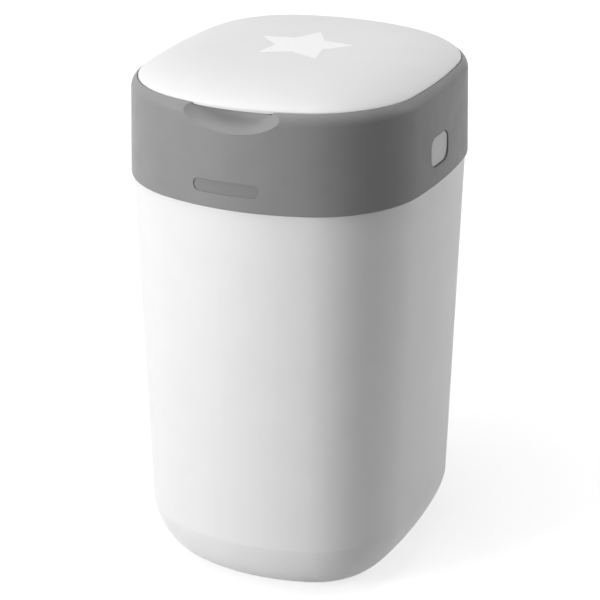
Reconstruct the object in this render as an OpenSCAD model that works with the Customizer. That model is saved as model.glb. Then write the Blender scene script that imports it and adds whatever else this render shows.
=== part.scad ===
// Twist-and-wrap nappy bin with a lift-up lid.
// Millimetres. +Z is up, the front is -Y, and the origin is the centre of the
// footprint on the floor. The outline is rounded square: front and back arcs,
// side arcs and four corner arcs, each tangent to the next. Every outer wall
// is that outline moved inwards by an amount that changes with height.

/* [Outline] */
// Width at the collar's lower edge
body_w = 250; // [240:1:260]
// Depth at the collar's lower edge
body_d = 280; // [272:1:290]
// Radius of the bowed front and back
front_r = 185; // [175:1:200]
// Radius of the nearly flat sides
side_r = 484; // [400:1:600]
// Radius of the four upright corners
corner_r = 92; // [86:1:98]

/* [Tub] */
// Height of the tub's shoulder, where the collar stands
tub_h = 340.5; // [320:0.5:380]
// Thickness of the tub's wall and floor
tub_wall = 2.6; // [2:0.1:3.4]
// How far the top of the tub's wall lies inside the outline
tub_top_inset = 2; // [1.6:0.1:2.6]
// Height of the crease above the rounded base
crease_h = 47; // [40:1:56]
// How far the crease lies inside the outline
crease_inset = 10.6; // [8:0.1:14]
// How far the flat underside lies inside the outline
sole_inset = 47; // [44:0.5:52]
// Lean of the base just below the crease, in degrees
crease_lean = 10; // [6:1:14]
// Lean of the base where its two arcs meet, in degrees
knee_lean = 50; // [45:1:56]
// Height of the neck that the collar slips over
neck_h = 11; // [9:0.5:14]
// Diameter of each foot pad
foot_d = 20; // [14:1:26]
// Thickness of each foot pad
foot_t = 3; // [2.5:0.1:4]
// How far the foot pads stand out below the base
foot_out = 1.5; // [1:0.1:2]
// Room between the foot pads and the sides of the sole
foot_room_x = 12; // [8:1:16]
// Room between the foot pads and the front and back of the sole
foot_room_y = 20; // [16:1:24]

/* [Collar] */
// Height of the collar, from lower edge to rim
collar_h = 79.6; // [76:0.1:90]
// Thickness of the collar's wall and lip
collar_wall = 2.6; // [2.2:0.1:3.2]
// How far the collar's wall has leaned in by its shoulder
collar_lean = 1.7; // [1:0.1:2.4]
// Radius of the rounded shoulder
shoulder_r = 11; // [9:0.5:13]
// How far the rim lies inside the outline
rim_inset = 6.8; // [5.5:0.1:8]
// Step down from the rim to the lip that carries the lid
rim_step = 2.3; // [1.8:0.1:3]
// How far the lip reaches inside the outline
lip_inset = 17; // [16:0.5:18]
// Length of the egg form that cuts the finger scoop, side to side
scoop_l = 114; // [106:1:120]
// Thickness of the egg form
scoop_d = 42.2; // [40:0.1:43]
// How far the egg form's middle stands in front of the collar
scoop_out = 7; // [6:0.5:9]
// How far the egg form's middle lies above the lip
scoop_up = 3; // [2:0.5:4]
// Length of the bare name plate recess
plate_w = 56; // [40:1:70]
// Height of the bare name plate recess
plate_h = 10.6; // [8:0.1:14]
// Depth of the bare name plate recess
plate_depth = 0.8; // [0.4:0.1:1.2]
// Height of the name plate's centre above the collar's lower edge
plate_z = 17.3; // [12:0.1:30]
// How far the name plate's centre lies off the middle
plate_x = -3; // [-20:1:20]

/* [Lid] */
// Rise of the lid from its edge to its crown
lid_rise = 15.4; // [12:0.1:20]
// Thickness of the lid's shell
lid_wall = 2.4; // [2:0.1:3]
// Height of the lid's upright edge
lid_edge_h = 2.1; // [1.6:0.1:3]
// Thickness of the panel inside the lid
liner_t = 2.4; // [2:0.1:3]
// Width of the rubber seal
seal_w = 3; // [2:0.1:3.4]
// Radius of the star from centre to tip
star_r = 42; // [30:1:43]
// Radius of the star from centre to inner corner
star_notch_r = 22; // [15:1:26]
// Turn of the star about the upright axis, in degrees
star_turn = 20; // [0:1:71]
// Thickness of the star inlay
star_t = 0.8; // [0.6:0.1:1.2]
// Radius of the lid's hinge knuckles
knuckle_r = 3.5; // [3:0.1:3.6]
// Radius of the hinge pin
hinge_pin_r = 1.6; // [1.2:0.1:1.8]
// Width of the pocket that holds the hinge
hinge_w = 80; // [76:1:90]
// Width of each knuckle on the lid
lid_knuckle_w = 16; // [12:1:18]
// Distance from the middle to the centre of each lid knuckle
lid_knuckle_x = 24; // [22:1:26]

/* [Twist mechanism] */
// Depth of the deck below the collar's lip
deck_drop = 14; // [12:0.5:16]
// Thickness of the deck
deck_t = 2.6; // [2.2:0.1:3.4]
// Room between the well and the side of the outline
well_room = 34.8; // [32:0.2:45]
// Wall of the well
well_wall = 2.4; // [2:0.1:3]
// Depth of the well below the deck
well_depth = 66; // [60:0.5:70]
// Room between the refill cassette's inner and outer walls
film_room = 24.4; // [18:0.2:28]
// Wall of the twist cup
cup_wall = 2.4; // [2:0.1:3]
// Height of the finger grips on the twist cup's rim
grip_h = 3.2; // [2:0.1:3.6]
// Number of grips on the twist cup's rim
grip_count = 6; // [3:1:12]
// Number of ratchet notches round the twist cup, a multiple of 12
notch_count = 24; // [12:12:36]
// Depth of the ratchet notches
notch_depth = 1.6; // [1.2:0.1:2]
// Wall of the refill cassette
cassette_wall = 1.4; // [1:0.1:2]
// Height of the refill cassette's body
cassette_h = 47; // [36:1:50]
// Height of the pleated film inside the cassette
film_h = 41; // [20:1:41]
// Radius of the pawl's pin
pawl_pin_r = 1.5; // [1.2:0.1:1.8]
// Height of the pawl
pawl_h = 9.2; // [6:0.1:10]

/* [Chute and cutter] */
// Height of the chute below the well
chute_h = 24; // [18:1:32]
// How much narrower than the throat the chute's lower end is
chute_step = 4; // [3:0.5:8]
// Wall of the chute
chute_wall = 2.2; // [1.8:0.1:3]
// Radius of the opening between the rubber fingers
finger_gap_r = 20; // [14:1:26]
// Number of rubber fingers
finger_count = 12; // [8:1:16]
// Width of the slit between two rubber fingers
finger_slit = 2; // [1.5:0.1:3]
// Length of the cutter's rail
rail_l = 96; // [80:1:110]
// Length of the cutter's slider
slider_l = 20; // [16:1:26]

/* [Release buttons] */
// Length of each release button, front to back
button_w = 34; // [30:0.5:38]
// Height of each release button
button_h = 23.5; // [22:0.5:28]
// Radius of the release button's corners
button_r = 8; // [5:0.5:10]
// Height of the button's centre above the collar's lower edge
button_z = 27.5; // [26:0.5:30]
// How far the button's centre lies in front of the middle
button_y = 12; // [6:0.5:16]
// Gap round the button in its window
button_gap = 0.8; // [0.5:0.1:1]
// How far the button's face lies inside the collar's face
button_sink = 1; // [0.6:0.1:1.4]
// How far each button is pressed in
button_travel = 4; // [3.5:0.1:4.2]
// How far each hook reaches under the tub's catch
hook_grip = 2.5; // [1.8:0.1:3]

/* [Fits] */
// Gap between pieces that are fixed to each other
joint_gap = 0.2; // [0.1:0.05:0.3]
// Gap between pieces that move past each other
run_gap = 0.4; // [0.3:0.05:0.5]
// Gap all round a pin in its bore
pin_gap = 0.05; // [0.02:0.01:0.08]

/* [Hidden] */
$fn = 96;

// Outline: centres of the arcs
half_w = body_w / 2;
half_d = body_d / 2;
front_cy = half_d - front_r;
side_cx = half_w - side_r;
reach_f = front_r - corner_r;
reach_s = side_r - corner_r;
span = norm([side_cx, front_cy]);
along = (reach_f * reach_f - reach_s * reach_s + span * span) / (2 * span);
across = sqrt(reach_f * reach_f - along * along);
corner_cx = along * side_cx / span - across * front_cy / span;
corner_cy = front_cy - along * front_cy / span - across * side_cx / span;
front_half = atan2(corner_cx, corner_cy - front_cy);
side_half = atan2(corner_cy, corner_cx - side_cx);
corner_span = 90 - front_half - side_half;

// Heights
collar_z = tub_h + joint_gap;
rim_z = collar_z + collar_h;
lip_z = rim_z - rim_step;
lip_under_z = lip_z - collar_wall;
lid_bottom_z = lip_z + run_gap + 0.1;
lid_edge_z = lid_bottom_z + lid_edge_h;
crown_z = lid_edge_z + lid_rise;
deck_z = lip_z - deck_drop;
deck_under_z = deck_z - deck_t;
well_r = half_w - well_room;
well_z = deck_z - well_depth;
ledge_t = 3.6;
ledge_z = well_z + ledge_t;

// Lid
lid_inset = rim_inset + 2 * run_gap;
crown_inset = corner_r - 8;
seal_inset = lip_inset - 0.5 - seal_w;
liner_inset = lip_inset + 2;
liner_z = lip_z - 3.6;

// Hinge
hinge_y = half_d - 9.2;
hinge_z = lip_z - knuckle_r;
pocket_z = lip_z - 11;
pocket_y = half_d - lip_inset + 3.8;

// Deck
deck_inset = collar_lean + collar_wall + 0.6;
boss_inset = lip_inset - 5;
screw_r = 1.5;
screw_head_r = 3;
screw_head_h = 2;
deck_screw_l = 10;

// Twist cup and cassette
cup_r = well_r - 2.2;
band_r = cup_r + notch_depth;
cup_z = ledge_z + run_gap;
cup_floor_z = cup_z + cup_wall;
cup_rim_r = well_r + 6;
cup_rim_z = deck_z + run_gap;
cassette_r = cup_r - cup_wall - run_gap;
cassette_in_r = cassette_r - film_room;
throat_r = cassette_in_r - run_gap - cup_wall;
ledge_in_r = throat_r + 2;
cassette_z = cup_floor_z + joint_gap;
cassette_top_z = cassette_z + cassette_h;
cap_z = cassette_top_z + joint_gap;
cap_t = 2;
cap_skirt_t = 1.2;
cap_skirt_h = 4;
cap_open = 3;
film_gap = 1.6;

// Click pawl
band_z = deck_z - 35;
notch_half = 2.3;
pawl_x = 11;
pawl_y = well_r + well_wall + 5.9;
pawl_hub_r = 3.4;
lug_t = 3;

// Chute and cutter
chute_r = throat_r - chute_step;
chute_z = well_z - joint_gap;
chute_flange_t = 2.4;
chute_end_z = chute_z - chute_h;
chute_end_h = 8;
chute_screw_at = (chute_r + well_r) / 2 + 5;
finger_drop = 8;
finger_t = 2.2;
sleeve_r = chute_r + chute_wall + joint_gap;
rail_y = -(ledge_in_r + 15);
rail_w = 16;
rail_h = 10;
rail_wall = 2.5;
rail_top_z = chute_z - chute_flange_t - joint_gap;
rail_z = rail_top_z - rail_h;
track_h = 4.4;
track_z = rail_z + rail_wall + 0.3;
slot_w = 5;
slider_x = -(rail_l / 2 - rail_wall - run_gap - slider_l / 2);
knob_h = 9;
blade_t = 0.6;
blade_l = 14;
blade_reach = 6;

// Latches
face_x = half_w - collar_lean * button_z / (collar_h - shoulder_r);
button_mid_z = collar_z + button_z;
flange_x = face_x - collar_wall - 2.2;
flange_t = 2;
flange_over = 2.5;
latch_x = flange_x - flange_t - joint_gap;
catch_z = collar_z - 2.5;
catch_t = 3;
catch_l = 24;
neck_inset = collar_wall + 0.7;
neck_in = neck_inset + tub_wall;
catch_x = half_w - neck_in - 3.4;
arm_x = catch_x - run_gap;
arm_t = 3;
arm_w = 16;
hook_h = 4;
stem_w = 12;
stem_h = 8;
spigot_l = 3;
guide_wall = 2.4;
guide_x = well_r + well_wall + 1.6;
guide_end_x = arm_x - arm_t - button_travel - run_gap;
stem_end_x = guide_x + guide_wall + spigot_l + button_travel + run_gap;
spring_r = 3.4;
wire_r = 0.45;
spring_turns = 5;

// Joins of the swept wall. The corner arcs stand proud of the arcs that they
// meet by seam, and the others run lap under them.
seam = 0.03;
lap = 0.8;
core_inset = corner_r - 1;

// The base below the crease is two arcs, a large one and then a small one.
base_drop = crease_h - foot_out;
base_in = sole_inset - crease_inset;
big_dz = sin(knee_lean) - sin(crease_lean);
big_dx = cos(crease_lean) - cos(knee_lean);
small_dz = 1 - sin(knee_lean);
small_dx = cos(knee_lean);
base_det = big_dz * small_dx - small_dz * big_dx;
base_big_r = (base_drop * small_dx - small_dz * base_in) / base_det;
base_small_r = (big_dz * base_in - base_drop * big_dx) / base_det;
big_c = [crease_inset + base_big_r * cos(crease_lean), crease_h + base_big_r * sin(crease_lean)];
small_c = [sole_inset, foot_out + base_small_r];

// Feet and shoulder
foot_x = half_w - sole_inset - foot_d / 2 - foot_room_x;
foot_y = half_d - sole_inset - foot_d / 2 - foot_room_y;
shoulder_end = acos(1 - (rim_inset - collar_lean) / shoulder_r);
shoulder_z = rim_z - shoulder_r * sin(shoulder_end);

// Hinge and lid
trough_wall = 2.4;
rim_drop_half = 82;
web_half = 3;
side_knuckle_in = lid_knuckle_x + lid_knuckle_w / 2 + run_gap;
side_knuckle_w = hinge_w / 2 - side_knuckle_in + 1;
mid_knuckle_w = 2 * (lid_knuckle_x - lid_knuckle_w / 2 - run_gap);
dome_steps = [0, 0.01, 0.03, 0.06, 0.1, 0.16, 0.24, 0.34, 0.46, 0.6, 0.78, 1];

// Corner bosses and cutter
boss_at = [
    corner_cx + (corner_r - boss_inset) * cos(45),
    corner_cy + (corner_r - boss_inset) * sin(45)
];
knob_z = rail_z - run_gap - knob_h;
blade_z = knob_z + knob_h / 2;

// ---------------------------------------------------------------- Outline

// A wall profile is a list of [inset, height] points, swept round the outline.

function cross2(a, b) = a[0] * b[1] - a[1] * b[0];
function area2(p) = let (n = len(p))
    [for (i = 0, s = cross2(p[n - 1], p[0]); i < n; i = i + 1,
        s = s + (i < n ? cross2(p[i - 1], p[i]) : 0)) s][n - 1];
function normal(a, b) = [b[1] - a[1], a[0] - b[0]] / norm(b - a);

// Moves every side of a closed profile outwards by e
function grown(p, e) = let (n = len(p), s = area2(p) > 0 ? e : -e)
    [for (i = [0:n - 1]) let (
        n0 = normal(p[(i + n - 1) % n], p[i]),
        n1 = normal(p[i], p[(i + 1) % n]))
        p[i] + s * (n0 + n1) / (1 + n0 * n1)];

// Turns a wall profile round the outline
module around(profile) {
    front_lap = lap / front_r * 180 / PI;
    side_lap = lap / side_r * 180 / PI;
    for (m = [0, 1]) mirror([0, m, 0]) {
        arc_wall([0, front_cy], front_r, 90 - front_half - front_lap, 2 * (front_half + front_lap), profile);
        for (n = [0, 1]) mirror([n, 0, 0])
            arc_wall([corner_cx, corner_cy], corner_r, side_half, corner_span, grown(profile, seam));
    }
    for (n = [0, 1]) mirror([n, 0, 0])
        arc_wall([side_cx, 0], side_r, -side_half - side_lap, 2 * (side_half + side_lap), profile);
}

module arc_wall(centre, r, start, sweep, profile) {
    translate([centre[0], centre[1], 0])
        rotate([0, 0, start])
            rotate_extrude(angle = sweep)
                polygon([for (p = profile) [r - p[0], p[1]]]);
}

// The middle of the outline, which fills what the arcs leave open
module middle(z0, z1) {
    translate([0, 0, z0 + seam]) linear_extrude(z1 - z0 - 2 * seam) intersection() {
        for_disc(0, front_cy, reach_f + 2);
        for_disc(0, -front_cy, reach_f + 2);
        for_disc(side_cx, 0, reach_s + 2);
        for_disc(-side_cx, 0, reach_s + 2);
    }
}

module for_disc(x, y, r) {
    translate([x, y]) circle(r = r, $fn = 360);
}

// A flat plate with the outline moved inwards
module plate(inset, z0, z1) {
    around([[inset, z0], [core_inset, z0], [core_inset, z1], [inset, z1]]);
    middle(z0, z1);
}

// A band between two insets
module band(inset0, inset1, z0, z1) {
    around([[inset0, z0], [inset1, z0], [inset1, z1], [inset0, z1]]);
}

module rounded_rect(w, h, r) {
    square([w - 2 * r, h], center = true);
    square([w, h - 2 * r], center = true);
    for (x = [-1, 1], y = [-1, 1])
        translate([x * (w / 2 - r), y * (h / 2 - r)]) circle(r = r);
}

// Makes the left-hand copy when s is negative
module mirror_to(s) {
    mirror([s < 0 ? 1 : 0, 0, 0]) children();
}

module tube(r0, r1, z0, z1) {
    translate([0, 0, z0]) rotate_extrude()
        translate([r0, 0]) square([r1 - r0, z1 - z0]);
}

// ---------------------------------------------------------------- Tub

function base_curve(t, n) = concat(
    [for (i = [0:n]) let (a = crease_lean + (knee_lean - crease_lean) * i / n)
        [big_c[0] - (base_big_r - t) * cos(a), big_c[1] - (base_big_r - t) * sin(a)]],
    [for (i = [1:n]) let (a = knee_lean + (90 - knee_lean) * i / n)
        [small_c[0] - (base_small_r - t) * cos(a), small_c[1] - (base_small_r - t) * sin(a)]]
);

function reversed(list) = [for (i = [len(list) - 1:-1:0]) list[i]];

module tub() {
    outer = concat([[neck_inset, tub_h + neck_h], [neck_inset, tub_h], [tub_top_inset, tub_h]],
        base_curve(0, 6), [[core_inset, foot_out]]);
    inner = concat([[neck_in, tub_h + neck_h], [neck_in, tub_h - 4],
        [tub_top_inset + tub_wall, tub_h - 8]],
        base_curve(tub_wall, 6), [[core_inset, foot_out + tub_wall]]);
    color("white") difference() {
        union() {
            around(concat(outer, reversed(inner)));
            middle(foot_out, foot_out + tub_wall);
            for (s = [-1, 1]) catch_bar(s);
        }
        for (sx = [-1, 1], sy = [-1, 1]) foot_at(sx, sy) cylinder(d = foot_d + 2 * joint_gap, h = foot_t);
    }
}

// The bar on the inside of the neck that a latch hook grips
module catch_bar(s) {
    bar_end = half_w - neck_in + 1;
    mirror_to(s) translate([catch_x, -button_y - catch_l / 2, catch_z])
        cube([bar_end - catch_x, catch_l, catch_t]);
}

// ---------------------------------------------------------------- Feet

module foot_at(sx, sy) {
    translate([sx * foot_x, sy * foot_y, 0]) children();
}

module foot(sx, sy) {
    color("gray") foot_at(sx, sy) cylinder(d = foot_d, h = foot_t);
}

// ---------------------------------------------------------------- Collar

module collar() {
    outer = concat([[0.8, collar_z], [0, collar_z + 0.8]],
        [for (i = [0:6]) let (a = shoulder_end * i / 6)
            [collar_lean + shoulder_r * (1 - cos(a)), shoulder_z + shoulder_r * sin(a)]]);
    lip = [[rim_inset + 0.2, lip_z], [lip_inset, lip_z], [lip_inset, lip_under_z]];
    inner = [[collar_lean + collar_wall + 3.4, lip_under_z], [collar_lean + collar_wall, lip_under_z - 5],
        [collar_wall, collar_z]];
    color("darkgray") difference() {
        union() {
            around(concat(outer, lip, inner));
            scoop_block();
            hinge_trough();
            for (i = [0:3]) deck_boss(i);
        }
        egg(0);
        hinge_cut();
        name_plate();
        for (s = [-1, 1]) button_window(s);
        for (i = [0:3]) deck_bore(i);
    }
    color("darkgray") for (x = [-1, 0, 1]) collar_knuckle(x);
}

// The finger scoop is cut by an egg form that lies across the front, turned
// about a side-to-side axis and grown by t all round.
module egg(t) {
    half_turn = [for (i = [0:24]) let (a = 180 * i / 24)
        [(scoop_d / 2 + t) * sin(a), (scoop_l / 2 + t) * cos(a)]];
    translate([0, -half_d - scoop_out, lip_z + scoop_up]) rotate([0, 90, 0])
        rotate_extrude() polygon(half_turn);
}

module scoop_block() {
    intersection() {
        egg(collar_wall);
        band(collar_lean + 1.8, lip_inset - 0.5, lip_z - 30, lip_under_z + 0.5);
    }
}

module name_plate() {
    intersection() {
        translate([plate_x, -half_d, collar_z + plate_z]) rotate([90, 0, 0])
            linear_extrude(20, center = true) rounded_rect(plate_w, plate_h, plate_h / 2 - 0.01);
        difference() {
            translate([-plate_w, -half_d - 5, collar_z]) cube([2 * plate_w, 30, collar_h / 2]);
            translate([0, -front_cy, collar_z])
                cylinder(r = front_r - plate_depth - collar_lean * plate_z / collar_h, h = collar_h / 2);
        }
    }
}

module button_window(s) {
    translate([s * half_w, -button_y, button_mid_z]) rotate([90, 0, 90])
        linear_extrude(16, center = true)
            rounded_rect(button_w + 2 * button_gap, button_h + 2 * button_gap, button_r + button_gap);
}

// ---------------------------------------------------------------- Hinge

module hinge_trough() {
    intersection() {
        translate([-hinge_w / 2 - trough_wall, half_d - lip_inset, pocket_z - trough_wall])
            cube([hinge_w + 2 * trough_wall, lip_inset, lip_z - pocket_z + trough_wall]);
        band(collar_lean + 1, lip_inset, pocket_z - 5, lip_z);
    }
}

module hinge_cut() {
    translate([-hinge_w / 2, pocket_y, pocket_z]) cube([hinge_w, lip_inset, 30]);
    translate([-rim_drop_half, half_d / 2, lip_z + run_gap / 2]) cube([2 * rim_drop_half, half_d, 30]);
}

module knuckle(x, w) {
    translate([x - w / 2, hinge_y, hinge_z]) rotate([0, 90, 0]) cylinder(r = knuckle_r, h = w);
}

module knuckle_bore(x, w, gap) {
    translate([x - w / 2 - 1, hinge_y, hinge_z]) rotate([0, 90, 0])
        cylinder(r = hinge_pin_r + gap, h = w + 2);
}

module collar_knuckle(i) {
    w = i == 0 ? mid_knuckle_w : side_knuckle_w;
    x = i * (side_knuckle_in + side_knuckle_w / 2);
    difference() {
        union() {
            knuckle(x, w);
            translate([x - w / 2, hinge_y - web_half, pocket_z - 1])
                cube([w, 2 * web_half, hinge_z - pocket_z + 1]);
        }
        knuckle_bore(x, w, pin_gap);
    }
}

module hinge_pin() {
    w = hinge_w - 1;
    color("silver") translate([-w / 2, hinge_y, hinge_z]) rotate([0, 90, 0])
        cylinder(r = hinge_pin_r, h = w);
}

// ---------------------------------------------------------------- Lid

// Height of the lid's outer face at an inset
function dome(inset) = let (t = min(1, (inset - lid_inset) / (crown_inset - lid_inset)))
    lid_edge_z + lid_rise * pow(1 - pow(1 - t, 2.6), 0.75);

function dome_at(t) = lid_inset + (crown_inset - lid_inset) * t;

module lid_shell() {
    outer = concat([[lid_inset, lid_bottom_z]],
        [for (t = dome_steps) [dome_at(t), dome(dome_at(t))]], [[core_inset, crown_z]]);
    inner = concat([[lid_inset + lid_wall, lid_bottom_z]],
        [for (t = dome_steps) if (dome_at(t) > lid_inset + lid_wall)
            [dome_at(t), dome(dome_at(t)) - lid_wall]], [[core_inset, crown_z - lid_wall]]);
    color("white") difference() {
        union() {
            around(concat(outer, reversed(inner)));
            middle(crown_z - lid_wall, crown_z);
            for (s = [-1, 1]) lid_knuckle(s * lid_knuckle_x);
        }
        for (s = [-1, 1]) knuckle_bore(s * lid_knuckle_x, lid_knuckle_w, pin_gap);
        star_prism(crown_z - star_t, 5, joint_gap / 2);
    }
}

module lid_knuckle(x) {
    knuckle(x, lid_knuckle_w);
    translate([x - lid_knuckle_w / 2, hinge_y - web_half, hinge_z])
        cube([lid_knuckle_w, 2 * web_half - 2, lid_edge_z - hinge_z]);
}

function star_points(grow) = [for (i = [0:9])
    let (r = (i % 2 == 0 ? star_r : star_notch_r) + grow, a = star_turn + 36 * i)
    [r * cos(a), r * sin(a)]];

module star_prism(z, h, grow) {
    translate([0, 0, z]) linear_extrude(h) polygon(star_points(grow));
}

module star_inlay() {
    color("whitesmoke") star_prism(crown_z - star_t, star_t, 0);
}

// Height just below the lid's inner face at an inset
function under_dome(inset) = dome(inset) - lid_wall - run_gap;

module lid_liner() {
    wall_in = liner_inset + liner_t;
    color("gainsboro") {
        plate(liner_inset, liner_z, liner_z + liner_t);
        around([[liner_inset, liner_z + liner_t / 2], [wall_in, liner_z + liner_t / 2],
            [wall_in, under_dome(wall_in)], [liner_inset, under_dome(liner_inset)]]);
    }
}

module lid_seal() {
    in = seal_inset + seal_w;
    color("dimgray") around([[seal_inset, lip_z + joint_gap], [in, lip_z + joint_gap],
        [in, under_dome(in)], [seal_inset, under_dome(seal_inset)]]);
}

// ---------------------------------------------------------------- Deck

// Children at the four corner bosses, numbered round from the front left
module at_boss(i) {
    translate([(i == 0 || i == 3 ? -1 : 1) * boss_at[0], (i < 2 ? -1 : 1) * boss_at[1], 0]) children();
}

module deck_boss(i) {
    at_boss(i) translate([0, 0, deck_z + joint_gap])
        cylinder(r = 4, h = lip_under_z + 1 - deck_z - joint_gap);
}

module deck_bore(i) {
    at_boss(i) translate([0, 0, deck_z - 1]) cylinder(r = screw_r + pin_gap, h = deck_screw_l);
}

module deck_screw(i) {
    color("silver") at_boss(i) {
        translate([0, 0, deck_under_z - screw_head_h - joint_gap / 2])
            cylinder(r = screw_head_r, h = screw_head_h);
        translate([0, 0, deck_under_z - joint_gap]) cylinder(r = screw_r, h = deck_screw_l);
    }
}

module deck() {
    color("lightgray") difference() {
        union() {
            plate(deck_inset, deck_under_z, deck_z);
            tube(well_r - 1, well_r + well_wall, well_z, deck_z - 0.5);
            tube(ledge_in_r, well_r + well_wall, well_z, ledge_z);
            for (s = [-1, 1]) pawl_lug(s);
        }
        translate([0, 0, ledge_z]) cylinder(r = well_r, h = well_depth);
        for (i = [0:3]) at_boss(i) translate([0, 0, deck_under_z - 1])
            cylinder(r = screw_r + joint_gap, h = deck_t + 2);
        for (i = [0:3]) at_chute_screw(i) translate([0, 0, well_z - 1])
            cylinder(r = screw_r + pin_gap, h = ledge_t + 2);
        translate([-pawl_x - 1, well_r - 5, band_z - pawl_h / 2 - 1]) cube([2 * pawl_x + 2, 9, pawl_h + 2]);
        pawl_bore(30);
        egg(collar_wall + run_gap);
    }
}

// ---------------------------------------------------------------- Click pawl

module pawl_lug(s) {
    z = s > 0 ? band_z + pawl_h / 2 + run_gap : band_z - pawl_h / 2 - run_gap - lug_t;
    translate([pawl_x - 4, well_r + 0.6, z]) cube([8, pawl_y + pawl_hub_r - well_r - 0.6, lug_t]);
}

module pawl_bore(h) {
    translate([pawl_x, pawl_y, band_z]) cylinder(r = pawl_pin_r + pin_gap, h = h, center = true);
}

module click_pawl() {
    tip_y = band_r - notch_depth + run_gap;
    color("white") difference() {
        translate([0, 0, band_z - pawl_h / 2]) {
            translate([pawl_x, pawl_y, 0]) cylinder(r = pawl_hub_r, h = pawl_h);
            linear_extrude(pawl_h) polygon([
                [-0.7, tip_y], [0.7, tip_y], [1.8, band_r + 0.7], [pawl_x, pawl_y - pawl_hub_r + 0.2],
                [pawl_x - 1, pawl_y + pawl_hub_r - 0.4], [-1.5, band_r + 3.6]
            ]);
        }
        pawl_bore(2 * pawl_h);
    }
}

module pawl_pin() {
    pin_l = pawl_h + 2 * run_gap + 2 * lug_t;
    color("silver") translate([pawl_x, pawl_y, band_z]) cylinder(r = pawl_pin_r, h = pin_l, center = true);
}

// ---------------------------------------------------------------- Twist cup and cassette

module twist_cup() {
    band_half = pawl_h / 2 + 1.6;
    color("whitesmoke") difference() {
        union() {
            tube(throat_r, cup_r, cup_z, cup_floor_z);
            tube(throat_r, throat_r + cup_wall, cup_z, cup_z + 10);
            tube(cup_r - cup_wall, cup_r, cup_z, cup_rim_z + cup_wall);
            tube(cup_r - cup_wall, band_r, band_z - band_half, band_z + band_half);
            tube(cup_r - cup_wall, cup_rim_r, cup_rim_z, cup_rim_z + cup_wall);
            for (i = [0:grip_count - 1]) rotate([0, 0, 360 * i / grip_count])
                translate([cup_r - cup_wall + 1, -3, cup_rim_z + cup_wall - 1])
                    cube([cup_rim_r - cup_r + cup_wall - 2, 6, grip_h + 1]);
        }
        for (i = [0:notch_count - 1]) rotate([0, 0, 90 + 360 * i / notch_count])
            translate([0, 0, band_z - band_half - 1]) linear_extrude(2 * band_half + 2) polygon([
                [band_r + 1, -notch_half - 0.6], [band_r + 1, notch_half + 0.6],
                [band_r - notch_depth, notch_half - 0.8], [band_r - notch_depth, 0.8 - notch_half]
            ]);
    }
}

module cassette_body() {
    color("skyblue") {
        tube(cassette_in_r, cassette_r, cassette_z, cassette_z + cassette_wall);
        tube(cassette_in_r, cassette_in_r + cassette_wall, cassette_z, cassette_top_z - cap_open);
        tube(cassette_r - cassette_wall, cassette_r, cassette_z, cassette_top_z);
    }
}

module cassette_cap() {
    rim_r = cassette_r - cassette_wall - joint_gap;
    color("lightskyblue") {
        tube(cassette_in_r + cap_open, cassette_r, cap_z, cap_z + cap_t);
        tube(rim_r - cap_skirt_t, rim_r, cap_z - cap_skirt_h, cap_z + cap_t / 2);
    }
}

module film_pack() {
    z0 = cassette_z + cassette_wall + joint_gap;
    color("aliceblue") tube(cassette_in_r + cassette_wall + film_gap,
        cassette_r - cassette_wall - joint_gap - film_gap, z0, z0 + film_h);
}

// ---------------------------------------------------------------- Chute and finger ring

module at_chute_screw(i) {
    rotate([0, 0, 45 + 90 * i]) translate([chute_screw_at, 0, 0]) children();
}

module chute() {
    cone_z = chute_end_z + chute_end_h;
    color("lightgray") difference() {
        union() {
            tube(ledge_in_r, well_r, chute_z - chute_flange_t, chute_z);
            rotate_extrude() polygon([
                [ledge_in_r, chute_z], [chute_r, cone_z], [chute_r, chute_end_z],
                [chute_r + chute_wall, chute_end_z], [chute_r + chute_wall, cone_z],
                [ledge_in_r + chute_wall, chute_z - chute_flange_t], [ledge_in_r + chute_wall, chute_z]
            ]);
        }
        for (i = [0:3]) at_chute_screw(i) translate([0, 0, chute_z - chute_flange_t - 1])
            cylinder(r = screw_r + joint_gap, h = chute_flange_t + 2);
    }
}

module chute_screw(i) {
    z = chute_z - chute_flange_t;
    color("silver") at_chute_screw(i) {
        translate([0, 0, z - screw_head_h]) cylinder(r = screw_head_r, h = screw_head_h);
        translate([0, 0, z - 0.5]) cylinder(r = screw_r, h = chute_flange_t + joint_gap + ledge_t);
    }
}

module finger_ring() {
    top_z = chute_end_z - joint_gap;
    out_r = sleeve_r + finger_t;
    color("dimgray") difference() {
        rotate_extrude() polygon([
            [sleeve_r, top_z + chute_end_h], [sleeve_r, top_z], [chute_r, top_z],
            [finger_gap_r, top_z - finger_drop], [finger_gap_r, top_z - finger_drop - finger_t],
            [chute_r, top_z - finger_t], [out_r, top_z - finger_t], [out_r, top_z + chute_end_h]
        ]);
        for (i = [0:finger_count - 1]) rotate([0, 0, 360 * i / finger_count])
            translate([finger_gap_r - 2, -finger_slit / 2, top_z - 2 * finger_drop])
                cube([chute_r - finger_gap_r - 2, finger_slit, 3 * finger_drop]);
    }
}

// ---------------------------------------------------------------- Cutter

module cutter_rail() {
    track_w = rail_w - 2 * rail_wall;
    color("lightgray") difference() {
        translate([-rail_l / 2, rail_y - rail_w / 2, rail_z]) cube([rail_l, rail_w, rail_h]);
        translate([rail_wall - rail_l / 2, rail_y - track_w / 2, track_z])
            cube([rail_l - 2 * rail_wall, track_w, track_h]);
        translate([rail_wall - rail_l / 2, rail_y - slot_w / 2, rail_z - 1])
            cube([rail_l - 2 * rail_wall, slot_w, rail_wall + 3]);
    }
}

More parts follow.
